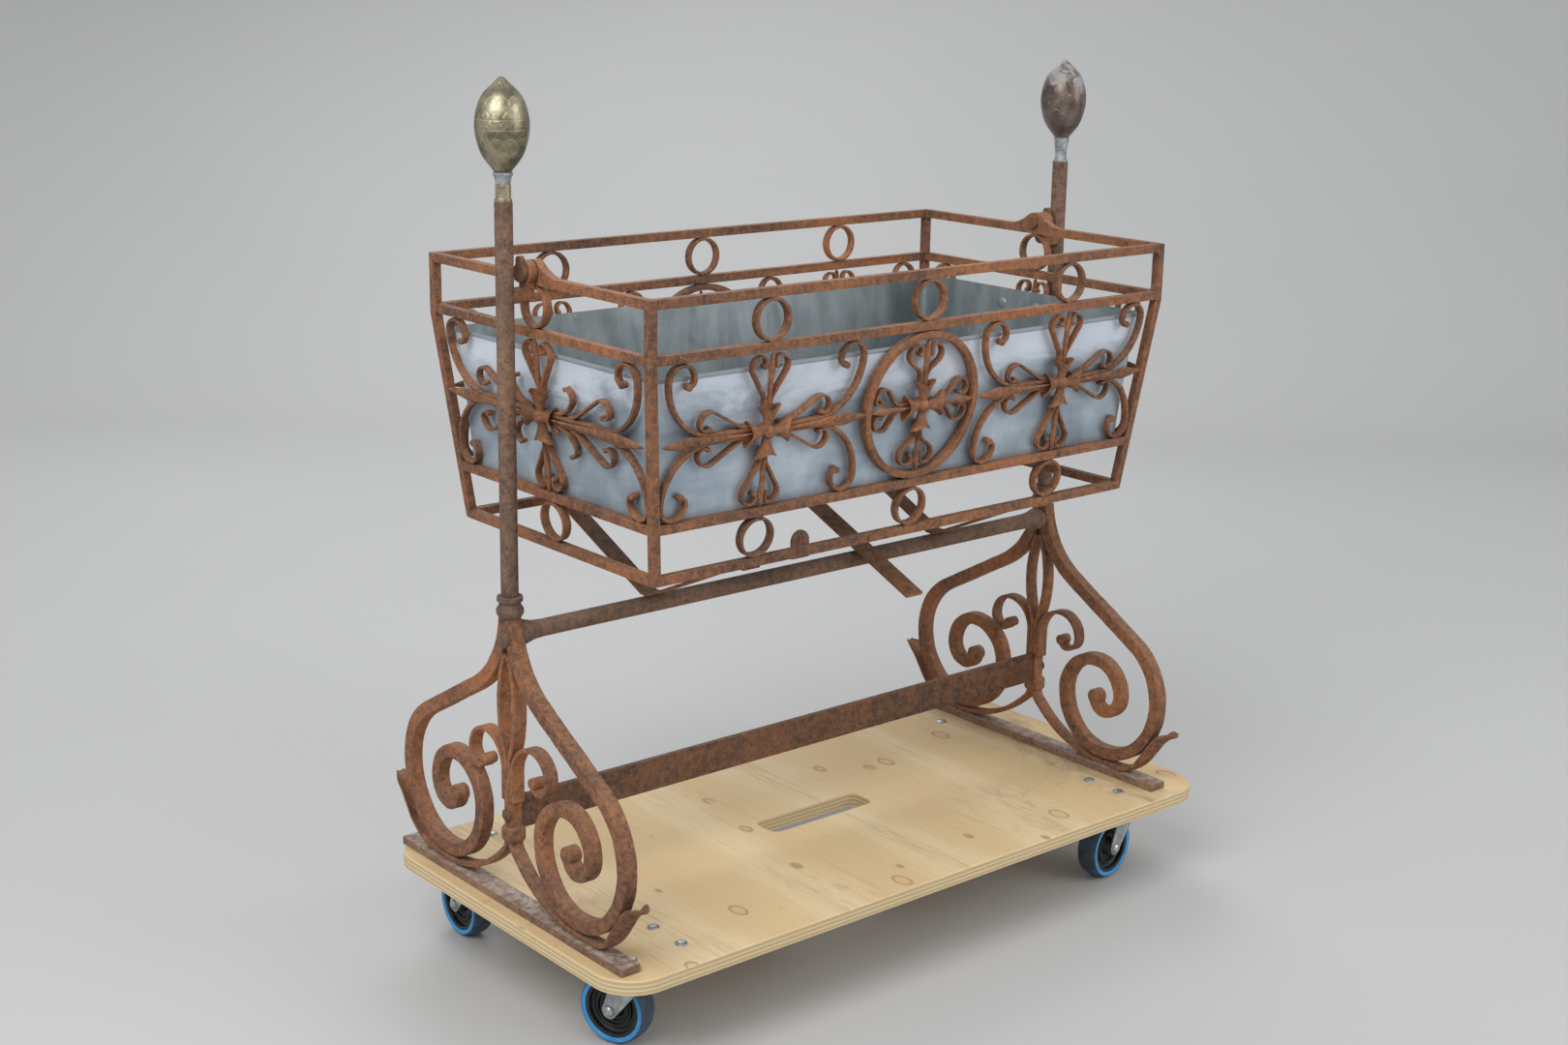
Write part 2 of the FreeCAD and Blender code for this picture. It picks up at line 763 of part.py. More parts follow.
def make_ends():
    """Both end frames: legs, leaf bars, small scrolls, collars, screws and rivets."""
    collars = []
    screws = []
    rivets = []
    for name, side in SIDES.items():
        x = side * half_span
        x_low = x - leg_bar / 2
        x_face = x + side * leg_bar / 2
        rivet_bore = leg_rivet_bore(x_face, side)
        screw_bore = end_screw_shank(x_face, side)
        collar = end_collar(x)
        leg = stand_up(scroll_leg(), x_low).cut(rivet_bore)
        leaf = stand_up(leaf_bar(), x - leaf_bar_depth / 2).cut(screw_bore)
        curl = stand_up(small_scroll(), x - small_scroll_depth / 2)
        leaf = leaf.cut(leg)
        curl = curl.cut(leg)
        save("scroll_legs_" + name, [leg, mirrored(leg, y=-1)])
        save("leaf_bars_" + name, [leaf, mirrored(leaf, y=-1)])
        save("small_scrolls_" + name, [curl, mirrored(curl, y=-1)])
        collars.append(collar.cut([leaf, mirrored(leaf, y=-1)]))
        screws.append(end_screw(x_face, side))
        rivet_foot = (x_face, 0, deck_top + leg_rivet_height)
        head = dome(leg_rivet_head_radius, leg_rivet_head_height, rivet_foot, (side, 0, 0))
        rivets.append(head.fuse(rivet_bore))
    save("end_collars", collars)
    save("end_screws", screws)
    save("leg_rivets", rivets)


def end_screw(x_face, side):
    """Round-headed slotted screw through the stem into the lower stretcher."""
    z = deck_top + end_screw_height
    screw = dome(end_screw_head_radius, end_screw_head_height, (x_face, 0, z), (side, 0, 0))
    screw = screw.fuse(end_screw_shank(x_face, side))
    outer = x_face + side * end_screw_head_height
    inner = outer - side * screw_slot_depth
    slot = box(min(inner, outer), max(inner, outer), -end_screw_head_radius, end_screw_head_radius,
               z - screw_slot_width / 2, z + screw_slot_width / 2)
    slot.rotate(Vector(x_face, 0, z), Vector(1, 0, 0), -screw_slot_angle * side)
    return screw.cut(slot)


def make_stretchers():
    """The round upper stretcher and the flat lower stretcher."""
    z = deck_top + upper_stretcher_bottom + upper_stretcher_radius
    bar = rod(upper_stretcher_radius, (-leg_inner, 0, z), (leg_inner, 0, z))
    for side in SIDES.values():
        profile = [(0, 0), (upper_stretcher_flare_radius, 0),
                   (upper_stretcher_flare_radius, upper_stretcher_flare_rim), upper_stretcher_flare_middle,
                   (upper_stretcher_radius, upper_stretcher_flare_length), (0, upper_stretcher_flare_length)]
        bar = bar.fuse(lathe(profile, (side * leg_inner, 0, z), (-side, 0, 0)))
        bar = bar.cut(leg_rivet_bore(side * leg_outer, side))
    save("upper_stretcher", bar)
    low = deck_top + lower_stretcher_bottom
    reach = half_span - leaf_bar_depth / 2
    flat = box(-reach, reach, -lower_stretcher_thickness / 2, lower_stretcher_thickness / 2,
               low, low + lower_stretcher_height)
    for side in SIDES.values():
        flat = flat.cut(end_screw_shank(side * (half_span + leg_bar / 2), side))
        flat = flat.cut(end_collar(side * half_span))
    save("lower_stretcher", flat)


# Posts, pivots and finials

def bracket_faces(side):
    """Inner and outer face of a bracket's upright along X."""
    inner = side * (cradle_top_half_x + bracket_side_gap)
    return inner, inner + side * bracket_thickness


def post_bracket(side):
    """Arm that leaves the post inwards and turns up to the pivot eye."""
    inner, outer = bracket_faces(side)
    z_eye = deck_top + pivot_height
    low = z_eye - bracket_width - bracket_bend_radius
    post_face = side * half_span
    x0, x1 = sorted((inner, post_face))
    arm = box(x0, x1, -bracket_width / 2, bracket_width / 2, low, low + bracket_arm_height)
    corner = [edge for edge in arm.Edges
              if math.hypot(edge.CenterOfMass.x - inner, edge.CenterOfMass.z - low) < 0.01]
    arm = arm.makeFillet(bracket_bend_radius - bracket_flat, corner)
    u0, u1 = sorted((inner, outer))
    upright = box(u0, u1, -bracket_width / 2, bracket_width / 2, low + bracket_bend_radius, z_eye)
    eye = rod(bracket_eye_radius, (u0, 0, z_eye), (u1, 0, z_eye))
    bracket = arm.fuse([upright, eye]).removeSplitter()
    post = rod(post_radius, (post_face, 0, deck_top + leg_top), (post_face, 0, deck_top + post_top))
    return bracket.cut(post).cut(pivot_bore(side, pivot_running_clearance))


def pivot_bore(side, extra=0.0):
    """The pin's shank from its head to its riveted tail."""
    z = deck_top + pivot_height
    tail = side * (cradle_top_half_x - cradle_bar)
    head = bracket_faces(side)[1]
    return rod(pivot_pin_radius + extra, (tail, 0, z), (head, 0, z))


def pivot_pin(side):
    """Pin with its outboard head, thumb tab and inner tail."""
    z = deck_top + pivot_height
    seat = bracket_faces(side)[1]
    start = seat + side * bracket_head_gap
    end = start + side * pivot_head_thickness
    tail = side * (cradle_top_half_x - cradle_bar - pivot_tail_gap)
    tail_end = tail - side * pivot_tail_thickness
    pin = rod(pivot_pin_radius, (tail_end, 0, z), (end, 0, z))
    pin = pin.fuse(rod(pivot_head_radius, (start, 0, z), (end, 0, z)))
    pin = pin.fuse(rod(pivot_tail_radius, (tail, 0, z), (tail_end, 0, z)))
    x0, x1 = sorted((start, end))
    tab_top = deck_top + pivot_tab_top - pivot_tab_width / 2
    tab = box(x0, x1, -pivot_tab_width / 2, pivot_tab_width / 2, z, tab_top)
    tab = tab.fuse(rod(pivot_tab_width / 2, (x0, 0, tab_top), (x1, 0, tab_top)))
    return pin.fuse(tab).removeSplitter()


def make_posts():
    """Posts with their base rings, brackets and pivot pins."""
    rings = []
    brackets = []
    pins = []
    base = deck_top + leg_top
    for name, side in SIDES.items():
        x = side * half_span
        top = deck_top + post_top
        post = rod(post_radius, (x, 0, base), (x, 0, top))
        spigot_top = deck_top + cup_top + finial_socket_depth
        save("post_" + name, post.fuse(rod(post_spigot_radius, (x, 0, top), (x, 0, spigot_top))))
        neck = post_bulb_neck_radius
        ring_low = post_bulb_height + post_ring_gap
        ring_high = ring_low + post_ring_height
        profile = [(post_radius, 0), (neck, 0)]
        profile += [(post_bulb_radius, height) for height in post_bulb_shoulders]
        profile += [(neck, post_bulb_height), (neck, ring_low), (post_ring_radius, ring_low),
                    (post_ring_radius, ring_high), (post_radius, ring_high)]
        rings.append(lathe(profile, (x, 0, base)))
        brackets.append(post_bracket(side))
        pins.append(pivot_pin(side))
    save("post_rings", rings)
    save("pivot_brackets", brackets)
    save("pivot_pins", pins)


def finial_body(x):
    """Pointed egg on its socket."""
    low = deck_top + cup_top
    widest = deck_top + finial_widest
    top = deck_top + finial_top
    foot = Vector(finial_foot_radius, 0, low)
    belly = Vector(finial_radius, 0, widest)
    tip = Vector(finial_tip_radius, 0, top)
    lower_mid = Vector(finial_lower_shoulder[0], 0, deck_top + finial_lower_shoulder[1])
    upper_mid = Vector(finial_upper_shoulder[0], 0, deck_top + finial_upper_shoulder[1])
    side_curve = Part.BSplineCurve()
    side_curve.interpolate([foot, lower_mid, belly, upper_mid, tip])
    edges = [
        Part.makeLine(Vector(0, 0, low), foot),
        side_curve.toShape(),
        Part.makeLine(tip, Vector(0, 0, top)),
        Part.makeLine(Vector(0, 0, top), Vector(0, 0, low)),
    ]
    body = Part.Face(Part.Wire(edges)).revolve(Vector(0, 0, 0), Vector(0, 0, 1), 360)
    socket = rod(post_spigot_radius, (0, 0, low), (0, 0, low + finial_socket_depth))
    return moved(body.cut(socket), x=x)


def make_finials():
    """Two egg finials, the short ferrule with its cup, and the tall cup."""
    foot = deck_top + post_top
    mouth = deck_top + cup_top
    bore = post_spigot_radius
    step = deck_top + ferrule_top
    left = SIDES["left"] * half_span
    right = SIDES["right"] * half_span
    band = foot + ferrule_foot_height
    lip = mouth - cup_lip_height
    ferrule = lathe([(bore, foot), (ferrule_foot_radius, foot), (ferrule_foot_radius, band),
                     (ferrule_radius, band), (ferrule_radius, step), (bore, step)], (left, 0, 0))
    cup = lathe([(bore, step), (cup_foot_radius, step), (cup_middle_radius, (step + mouth) / 2),
                 (cup_mouth_radius, lip), (cup_mouth_radius, mouth), (bore, mouth)], (left, 0, 0))
    tall = lathe([(bore, foot), (ferrule_foot_radius, foot), (ferrule_foot_radius, foot + cup_lip_height),
                  (tall_cup_foot_radius, foot + cup_lip_height), (tall_cup_foot_radius, (foot + mouth) / 2),
                  (tall_cup_mouth_radius, lip), (tall_cup_mouth_radius, mouth), (bore, mouth)],
                 (right, 0, 0))
    save("ferrule_left", ferrule)
    save("finial_cup_left", cup)
    save("finial_cup_right", tall)
    save("finial_left", finial_body(left))
    save("finial_right", finial_body(right))


# Cradle frame

def half_x(z):
    """Outer half length of the cradle at a height above the deck."""
    share = max(0.0, (upper_rail_bottom - z) / (upper_rail_bottom - bottom_rail_bottom))
    return cradle_top_half_x + (cradle_foot_half_x - cradle_top_half_x) * share


def half_y(z):
    """Outer half width of the cradle at a height above the deck."""
    share = max(0.0, (upper_rail_bottom - z) / (upper_rail_bottom - bottom_rail_bottom))
    return cradle_top_half_y + (cradle_foot_half_y - cradle_top_half_y) * share


def corner_square(z, sign_x, sign_y):
    """Section of a corner bar at a height above the deck."""
    x1, y1 = sign_x * half_x(z), sign_y * half_y(z)
    x0, y0 = x1 - sign_x * cradle_bar, y1 - sign_y * cradle_bar
    points = [Vector(x, y, deck_top + z) for x, y in ((x0, y0), (x1, y0), (x1, y1), (x0, y1))]
    return Part.makePolygon(points + points[:1])


def corner_bar(sign_x, sign_y):
    """Corner bar that leans outward and then stands upright."""
    heights = (bottom_rail_bottom, upper_rail_bottom, top_rail_top)
    return Part.makeLoft([corner_square(z, sign_x, sign_y) for z in heights], True, True)


def rail_set(z, corners):
    """Four straight rails at a height above the deck, ended on the corner bars."""
    middle = z + cradle_bar / 2
    hx, hy = half_x(middle), half_y(middle)
    low, high = deck_top + z, deck_top + z + cradle_bar
    rails = []
    end_x = hx - cradle_bar / 2
    end_y = hy - cradle_bar / 2
    for sign in (-1, 1):
        y0, y1 = sorted((sign * hy, sign * (hy - cradle_bar)))
        rails.append(box(-end_x, end_x, y0, y1, low, high))
        x0, x1 = sorted((sign * hx, sign * (hx - cradle_bar)))
        rails.append(box(x0, x1, -end_y, end_y, low, high))
    trimmed = []
    for rail in rails:
        pieces = rail.cut(corners).Solids
        trimmed.append(max(pieces, key=lambda solid: solid.Volume))
    return trimmed


def hump(side):
    """Raised middle of an end top rail, with concave flanks."""
    peak = hump_root + hump_peak - top_rail_top
    flank = (hump_root + hump_flank[0], hump_flank[1])
    crown = (peak - hump_crown_drop, hump_crown_half)
    brow = (peak - hump_brow_drop, hump_brow_half)
    outline = symmetric_outline([
        ((0.0, hump_half_length), (hump_root, hump_half_length)),
        ((hump_root, hump_half_length), flank, crown),
        (crown, brow, (peak, hump_tip_half)),
    ])
    solid = outline.extrude(Vector(0, 0, cradle_bar))
    inner = side * cradle_top_half_x - (cradle_bar if side > 0 else 0.0)
    # u stands up, v lies along Y and the depth along X
    foot = deck_top + top_rail_top - hump_root
    return transformed(solid, Matrix(0, 0, 1, inner, 0, -1, 0, 0, 1, 0, 0, foot))


def make_cradle_frame():
    """Corner bars and the four levels of rails."""
    corners = [corner_bar(sx, sy) for sx in (-1, 1) for sy in (-1, 1)]
    save("corner_bars", corners)
    top = rail_set(top_rail_top - cradle_bar, corners)
    finished = []
    for rail in top:
        centre = rail.BoundBox.Center
        if abs(centre.x) > cradle_bar:
            side = math.copysign(1.0, centre.x)
            rail = rail.fuse(hump(side)).removeSplitter()
            rail = rail.cut(pivot_bore(side))
        finished.append(rail)
    save("top_rails", finished)
    save("upper_rails", rail_set(upper_rail_bottom, corners))
    save("lower_rails", rail_set(lower_rail_bottom, corners))
    save("bottom_rails", rail_set(bottom_rail_bottom, corners))


# Panels of the cradle

class Panel:
    """Frame of one side: s along it, t up its slope, n outward; n is 0 on the bars' outer faces."""

    def __init__(self, side):
        height = upper_rail_bottom - bottom_rail_bottom
        if side in ("front", "back"):
            lean = cradle_top_half_y - cradle_foot_half_y
        else:
            lean = cradle_top_half_x - cradle_foot_half_x
        self.slope = math.atan2(lean, height)
        outward = {"front": (0, -1), "back": (0, 1), "left": (-1, 0), "right": (1, 0)}[side]
        self.out = Vector(outward[0], outward[1], 0)
        self.along = Vector(-outward[1], outward[0], 0)
        reach = cradle_foot_half_y if side in ("front", "back") else cradle_foot_half_x
        self.origin = self.out * reach + Vector(0, 0, deck_top + bottom_rail_bottom)

    def height(self, z):
        """Distance up the slope of a height above the deck."""
        return (z - bottom_rail_bottom) / math.cos(self.slope)

    def sink(self):
        """How much lower up the slope a level face lies at the bars' mid depth than at their outer faces."""
        return cradle_bar / 2 * math.tan(self.slope)

    def place(self, shape, s=0.0, t=0.0):
        """Put a plane drawing on the panel, with its origin at (s, t)."""
        up = self.out * math.sin(self.slope) + Vector(0, 0, math.cos(self.slope))
        normal = self.along.cross(up)
        start = self.origin + self.along * s + up * t
        matrix = Matrix(self.along.x, up.x, normal.x, start.x, self.along.y, up.y, normal.y, start.y,
                        self.along.z, up.z, normal.z, start.z)
        return transformed(shape, matrix)


def flat_ring(radius, bar, depth, top):
    """Flat-bar ring round the drawing's origin, whose front face is at a height."""
    ring = Part.makeCylinder(radius, depth, Vector(0, 0, top - depth))
    return ring.cut(Part.makeCylinder(radius - bar, depth, Vector(0, 0, top - depth)))


def panel_gap():
    """Half the height of the ornament band, measured up the front slope."""
    panel = Panel("front")
    return (panel.height(upper_rail_bottom) - panel.height(lower_rail_bottom + cradle_bar)) / 2


def rail_gap():
    """Gap that keeps a piece as deep as the bars, and square to a panel, clear of the rails' level faces."""
    return Panel("front").sink() + rail_clearance


def motif_pitch():
    """From the middle of a long side to the motif between its circle and its corner bar."""
    middle = (upper_rail_bottom + lower_rail_bottom + cradle_bar) / 2
    return (panel_gap() + half_x(middle) - cradle_bar) / 2 - motif_inset


def ring_columns(side):
    """Where the small rings and the motifs stand along a side."""
    return (-motif_pitch(), 0.0, motif_pitch()) if side in ("front", "back") else (0.0,)


def make_rings():
    """Small rings between the top rails and between the bottom rails."""
    upper = []
    lower = []
    top_gap = top_rail_top - cradle_bar - upper_rail_bottom - cradle_bar
    top_radius = top_gap / 2
    top_centre = deck_top + upper_rail_bottom + cradle_bar + top_radius
    for side in ("front", "right", "back", "left"):
        panel = Panel(side)
        reach = cradle_top_half_y if side in ("front", "back") else cradle_top_half_x
        for s in ring_columns(side):
            place = panel.out * reach + panel.along * s + Vector(0, 0, top_centre)
            ring = rod(top_radius, tuple(place), tuple(place - panel.out * cradle_bar))
            ring = ring.cut(rod(top_radius - ring_bar, tuple(place), tuple(place - panel.out * cradle_bar)))
            upper.append(ring)
            low = panel.height(bottom_rail_bottom + cradle_bar) - panel.sink()
            low_radius = (panel.height(lower_rail_bottom) - panel.sink() - low) / 2
            drawing = flat_ring(low_radius - rail_gap(), ring_bar, cradle_bar, 0.0)
            lower.append(panel.place(drawing, s, low + low_radius))
    save("top_rings", upper)
    save("bottom_rings", lower)


def petal():
    """One flared arm of a boss along +u: its plan and its side outline meet, and its mouth is notched."""
    plan = symmetric_outline([
        ((petal_root, petal_neck_half), petal_waist, (petal_length, petal_half)),
        ((petal_length, petal_half), (petal_length - petal_notch, petal_cleft)),
    ]).extrude(Vector(0, 0, 2 * petal_length))
    plan.translate(Vector(0, 0, -petal_length))
    side = [(petal_root, boss_back), (petal_length, boss_back), (petal_length, petal_front),
            petal_ridge, (petal_root, petal_root_front)]
    points = [Vector(u, -petal_length, n) for u, n in side]
    sheet = Part.Face(Part.makePolygon(points + points[:1])).extrude(Vector(0, 2 * petal_length, 0))
    return plan.common(sheet)


def boss():
    """Centre of a motif: four flared petals round a button."""
    button = lathe([(0, boss_back), (boss_radius, boss_back), (boss_radius, boss_rim_front),
                    boss_shoulder, (0, boss_front)])
    return button.fuse([turned(petal(), QUARTER_TURN * quarter) for quarter in range(4)]).removeSplitter()


def strip_piece(path, strip, ball=0.0):
    """A panel strip along a path, set back from the face, with a ball at its end."""
    piece = path.band(strip, scroll_depth)
    if ball > 0:
        piece = piece.fuse(drum(path, ball, scroll_depth))
    return moved(piece, z=-scroll_recess - scroll_depth)


def long_scroll(reach):
    """Large scroll in the first quarter of a motif, that curls near the corner."""
    stem = long_stem + scroll_strip / 2
    side = reach - scroll_strip / 2
    top = panel_gap() - scroll_strip / 2 - rail_gap()
    bend = top - long_curl_radius - stem
    path = Path(stem_start, stem, 0).line(side - bend - stem_start).arc(bend, QUARTER_TURN)
    path.arc(long_curl_radius, HALF_TURN).arc(long_curl_inner, QUARTER_TURN)
    return strip_piece(path, scroll_strip, end_ball_radius)


def heart_half(start, stem, reach, half_width, lobe, curl):
    """Half of a heart beside an arm along +u: it swings out to its width and reach, then curls back in."""
    straight = heart_run_end - start if start < heart_run_end else side_heart_run
    across = heart_bend_radius + lobe
    rise_u = reach - lobe - start - straight
    rise_v = half_width - stem - across
    slope = math.sqrt(rise_u ** 2 + rise_v ** 2 - across ** 2)
    bend = math.degrees(math.atan2(rise_v, rise_u) + math.atan2(across, slope))
    path = Path(start, stem, 0).line(straight).arc(heart_bend_radius, bend).line(slope)
    path.arc(lobe, -QUARTER_TURN - bend).arc(curl, -heart_curl_turn)
    return strip_piece(path, heart_strip, heart_ball_radius)


def back_curl(start, stem):
    """Short scroll that turns back toward the middle of an end panel."""
    path = Path(start, stem, 0).line(heart_run_end - start).arc(back_curl_bend_radius, back_curl_bend)
    path.line(back_curl_slope).arc(back_curl_radius, HALF_TURN - back_curl_bend)
    return strip_piece(path, heart_strip, heart_ball_radius)


def spear(reach, half_width, depth, start=stem_start):
    """Leaf along +u with its widest part near the tip."""
    widest = start + (reach - start) * spear_widest_share
    root = spear_root_half
    swell = root + (half_width - root) * spear_swell_share
    taper = half_width * spear_taper_share
    clear = petal_length + petal_stem_gap
    outline = symmetric_outline([
        ((start, root), (clear, root)),
        ((clear, root), ((clear + widest) / 2, swell), (widest, half_width)),
        ((widest, half_width), ((widest + reach) / 2, taper), (reach, spear_tip_half)),
    ])
    return outline.extrude(Vector(0, 0, depth))


def four_ways(piece):
    """A piece of the first quarter repeated in all four quarters."""
    return [mirrored(piece, x, y) for x in (1, -1) for y in (1, -1)]


def turned(piece, angle):
    """A copy turned about the drawing's normal."""
    copy = piece.copy()
    copy.rotate(Vector(0, 0, 0), Vector(0, 0, 1), angle)
    return copy


def motif(side_reach, up_reach, heart_size, long_reach=0.0, side_heart=None, back_pair=False):
    """Pieces of one motif, keyed by kind, about its middle; a heart's size is its reach and half width."""
    centre = boss()
    up = heart_half(stem_start, heart_stem, *heart_size, heart_lobe, heart_curl)
    hearts = [turned(mirrored(up, y=y), angle) for y in (1, -1) for angle in (QUARTER_TURN, -QUARTER_TURN)]
    scrolls = []
    beside = long_stem + scroll_strip + heart_strip / 2 + ornament_gap
    if long_reach > 0:
        scrolls = four_ways(long_scroll(long_reach))
        start, reach, width = side_heart
        hearts += four_ways(heart_half(start, beside, reach, width, side_heart_lobe, side_heart_curl))
        side_width = spear_half_width
    else:
        hearts += four_ways(up)
        side_width = spoon_half_width
    if back_pair:
        hearts += four_ways(back_curl(stem_start, beside))
    flat = moved(spear(side_reach, side_width, spear_thickness), z=-scroll_recess)
    spoon_back = -scroll_recess - spoon_depth + spear_thickness
    spoon = moved(spear(up_reach, spoon_half_width, spoon_depth), z=spoon_back)
    leaves = [flat, turned(flat, HALF_TURN), turned(spoon, QUARTER_TURN), turned(spoon, -QUARTER_TURN)]
    return {
        "bosses": [centre],
        "panel_scrolls": [piece.cut(centre) for piece in scrolls],
        "heart_scrolls": [piece.cut(centre) for piece in hearts],
        "spear_leaves": [piece.cut(centre) for piece in leaves],
    }


def motif_designs():
    """The three motifs: wide beside the circle, small inside it, and broad on the ends."""
    gap = panel_gap()
    up_reach = gap - rail_gap()
    circle_inside = gap - rail_gap() - circle_bar - ornament_gap
    middle = (upper_rail_bottom + lower_rail_bottom + cradle_bar) / 2
    curl_height = lower_rail_bottom + cradle_bar + long_curl_radius
    post_side = half_x(middle) - cradle_bar - motif_pitch()
    circle_side = motif_pitch() - gap
    wide = motif(min(post_side, circle_side) - ornament_gap, up_reach, (heart_reach, heart_half_width),
                 half_x(curl_height) - cradle_bar - motif_pitch() - ornament_gap, wide_side_heart)
    small = motif(circle_inside, circle_inside, (small_heart_reach, heart_half_width))
    broad = motif(half_y(middle) - cradle_bar - ornament_gap, up_reach, (heart_reach, heart_half_width),
                  half_y(curl_height) - cradle_bar - ornament_gap, end_side_heart, True)
    return wide, small, broad


def make_panels():
    """Motifs and circle rings on the four sloping sides."""
    wide, small, broad = motif_designs()
    nodes = {"bosses": [], "panel_scrolls": [], "heart_scrolls": [], "spear_leaves": [], "circle_rings": []}
    for side in ("front", "right", "back", "left"):
        panel = Panel(side)
        middle = (panel.height(upper_rail_bottom) + panel.height(lower_rail_bottom + cradle_bar)) / 2
        middle -= panel.sink()
        spots = [(0.0, broad)]
        if side in ("front", "back"):
            spots = list(zip(ring_columns(side), (wide, small, wide)))
            ring = flat_ring(panel_gap() - rail_gap(), circle_bar, circle_depth, circle_proud)
            nodes["circle_rings"].append(panel.place(ring, 0.0, middle))
        for s, design in spots:
            for name, pieces in design.items():
                nodes[name] += [panel.place(piece, s, middle) for piece in pieces]
    for name, pieces in nodes.items():
        save(name, pieces)


# Straps, lug and liner

def strap_from(line, x, width, thickness):
    """A flat strap across X whose upper face follows a line of (y, z) points."""
    points = [Vector(x - width / 2, y, z) for y, z in line]
    points += [Vector(x - width / 2, y, z - thickness) for y, z in reversed(line)]
    return Part.Face(Part.makePolygon(points + points[:1])).extrude(Vector(width, 0, 0))


def hooked_strap(x):
    """Strap from the back bottom rail, down over the stretcher and up to the front one."""
    stretcher_top = upper_stretcher_bottom + 2 * upper_stretcher_radius
    low = deck_top + stretcher_top + strap_low_gap + strap_thickness
    seat = deck_top + bottom_rail_bottom
    end = half_y(bottom_rail_bottom) - strap_end_inset
    bend = end - strap_flat_length
    flat = strap_flat_foot / 2
    line = [(-end, seat), (-bend, seat), (-flat, low), (flat, low), (bend, seat), (end, seat)]
    return strap_from(line, x, strap_width, strap_thickness)


def loose_strap():
    """Strap fixed under the back bottom rail only, whose front end hangs free."""
    seat = deck_top + bottom_rail_bottom
    end = half_y(bottom_rail_bottom) - strap_end_inset
    crossing = deck_top + loose_strap_crossing
    tip = crossing - loose_strap_drop
    line = [(end, seat), (end - strap_flat_length, seat), (0.0, crossing), (-loose_strap_front, tip)]
    strap = strap_from(line, loose_strap_position, loose_strap_width, loose_strap_thickness)
    slope = math.atan2(loose_strap_drop, loose_strap_front)
    deep = 2 * loose_strap_thickness
    hole = rod(loose_strap_hole_radius, (loose_strap_position, 0, -deep), (loose_strap_position, 0, deep))
    hole.rotate(Vector(0, 0, 0), Vector(1, 0, 0), math.degrees(slope))
    hole_y = -loose_strap_front + loose_strap_hole_inset
    return strap.cut(moved(hole, 0, hole_y, crossing + hole_y * math.tan(slope)))


def strap_lug():
    """Rounded tab behind the front bottom rail."""
    inner = -half_y(bottom_rail_bottom + cradle_bar / 2) + cradle_bar + lug_gap
    z = deck_top + bottom_rail_bottom
    crown_z = z + cradle_bar + lug_height - lug_radius
    plate = box(lug_position - lug_radius, lug_position + lug_radius, inner, inner + lug_thickness,
                z - lug_drop, crown_z)
    crown = rod(lug_radius, (lug_position, inner, crown_z), (lug_position, inner + lug_thickness, crown_z))
    return plate.fuse(crown).removeSplitter()


def make_straps():
    """Two hooked straps, the loose one and the lug."""
    save("cradle_straps", [hooked_strap(x) for x in strap_positions])
    save("loose_strap", loose_strap())
    save("strap_lug", strap_lug())


def liner_half(z, rim, rail):
    """Half size of the liner at a height: it leans from its rim to its seat in the lower rails."""
    seat = rail - cradle_bar - liner_seat_gap
    lean = (rim - seat) / (liner_rim_top - lower_rail_bottom - cradle_bar)
    return rim - lean * (liner_rim_top - z)


def liner_ring(z, inset):
    """Rectangle of the liner's wall at a height above the deck, moved inward."""
    rail_middle = lower_rail_bottom + cradle_bar / 2
    x = liner_half(z, liner_rim_half_x, half_x(rail_middle)) - inset
    y = liner_half(z, liner_rim_half_y, half_y(rail_middle)) - inset
    points = [Vector(px, py, deck_top + z) for px, py in ((-x, -y), (x, -y), (x, y), (-x, y))]
    return Part.makePolygon(points + points[:1])


def liner_bead_ring():
    """Rolled edge round the liner's rim."""
    low = deck_top + liner_rim_top - liner_bead
    high = deck_top + liner_rim_top + liner_bead_rise
    x = liner_rim_half_x + liner_bead_overhang
    y = liner_rim_half_y + liner_bead_overhang
    bead = box(-x, x, -y, y, low, high)
    bead = bead.makeFillet(liner_bead_rounding, bead.Edges)
    x = liner_rim_half_x - liner_sheet
    y = liner_rim_half_y - liner_sheet
    return bead.cut(box(-x, x, -y, y, low, high))


def make_liner():
    """Tapered zinc box with a rolled rim, and the two rivets of its right end."""
    outside = Part.makeLoft([liner_ring(liner_floor, 0), liner_ring(liner_rim_top, 0)], True, True)
    floor = liner_floor + liner_sheet
    inner_rings = [liner_ring(floor, liner_sheet), liner_ring(liner_rim_top, liner_sheet)]
    inside = Part.makeLoft(inner_rings, True, True)
    shell = outside.fuse(liner_bead_ring()).cut(inside).removeSplitter()
    save("zinc_liner", shell)
    z = liner_rim_top - liner_rivet_drop
    wall = liner_half(z, liner_rim_half_x, half_x(lower_rail_bottom + cradle_bar / 2)) - liner_sheet
    root = -liner_sheet / 2
    head = [(0, root), (liner_rivet_radius, root), (liner_rivet_radius, liner_rivet_rim),
            liner_rivet_shoulder, (0, liner_rivet_height)]
    places = [liner_rivet_shift + sign * liner_rivet_pitch / 2 for sign in (-1, 1)]
    rivets = [lathe(head, (wall, y, deck_top + z), (-1, 0, 0)).cut(shell) for y in places]
    save("liner_rivets", rivets)


os.makedirs("parts", exist_ok=True)
make_deck()
make_deck_bolts()
make_castors()
make_feet()
make_ends()
make_stretchers()
make_posts()
make_finials()
make_cradle_frame()
make_rings()
make_panels()
make_straps()
make_liner()
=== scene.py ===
"""Dresses a wheeled plant caddy: plywood board on castors, iron stand, swinging cradle and zinc liner."""
import json
import logging
import math
from dataclasses import dataclass
from enum import Enum
from typing import Optional, Sequence, Union

import bmesh
import bpy
import numpy as np
from mathutils import Matrix, Vector


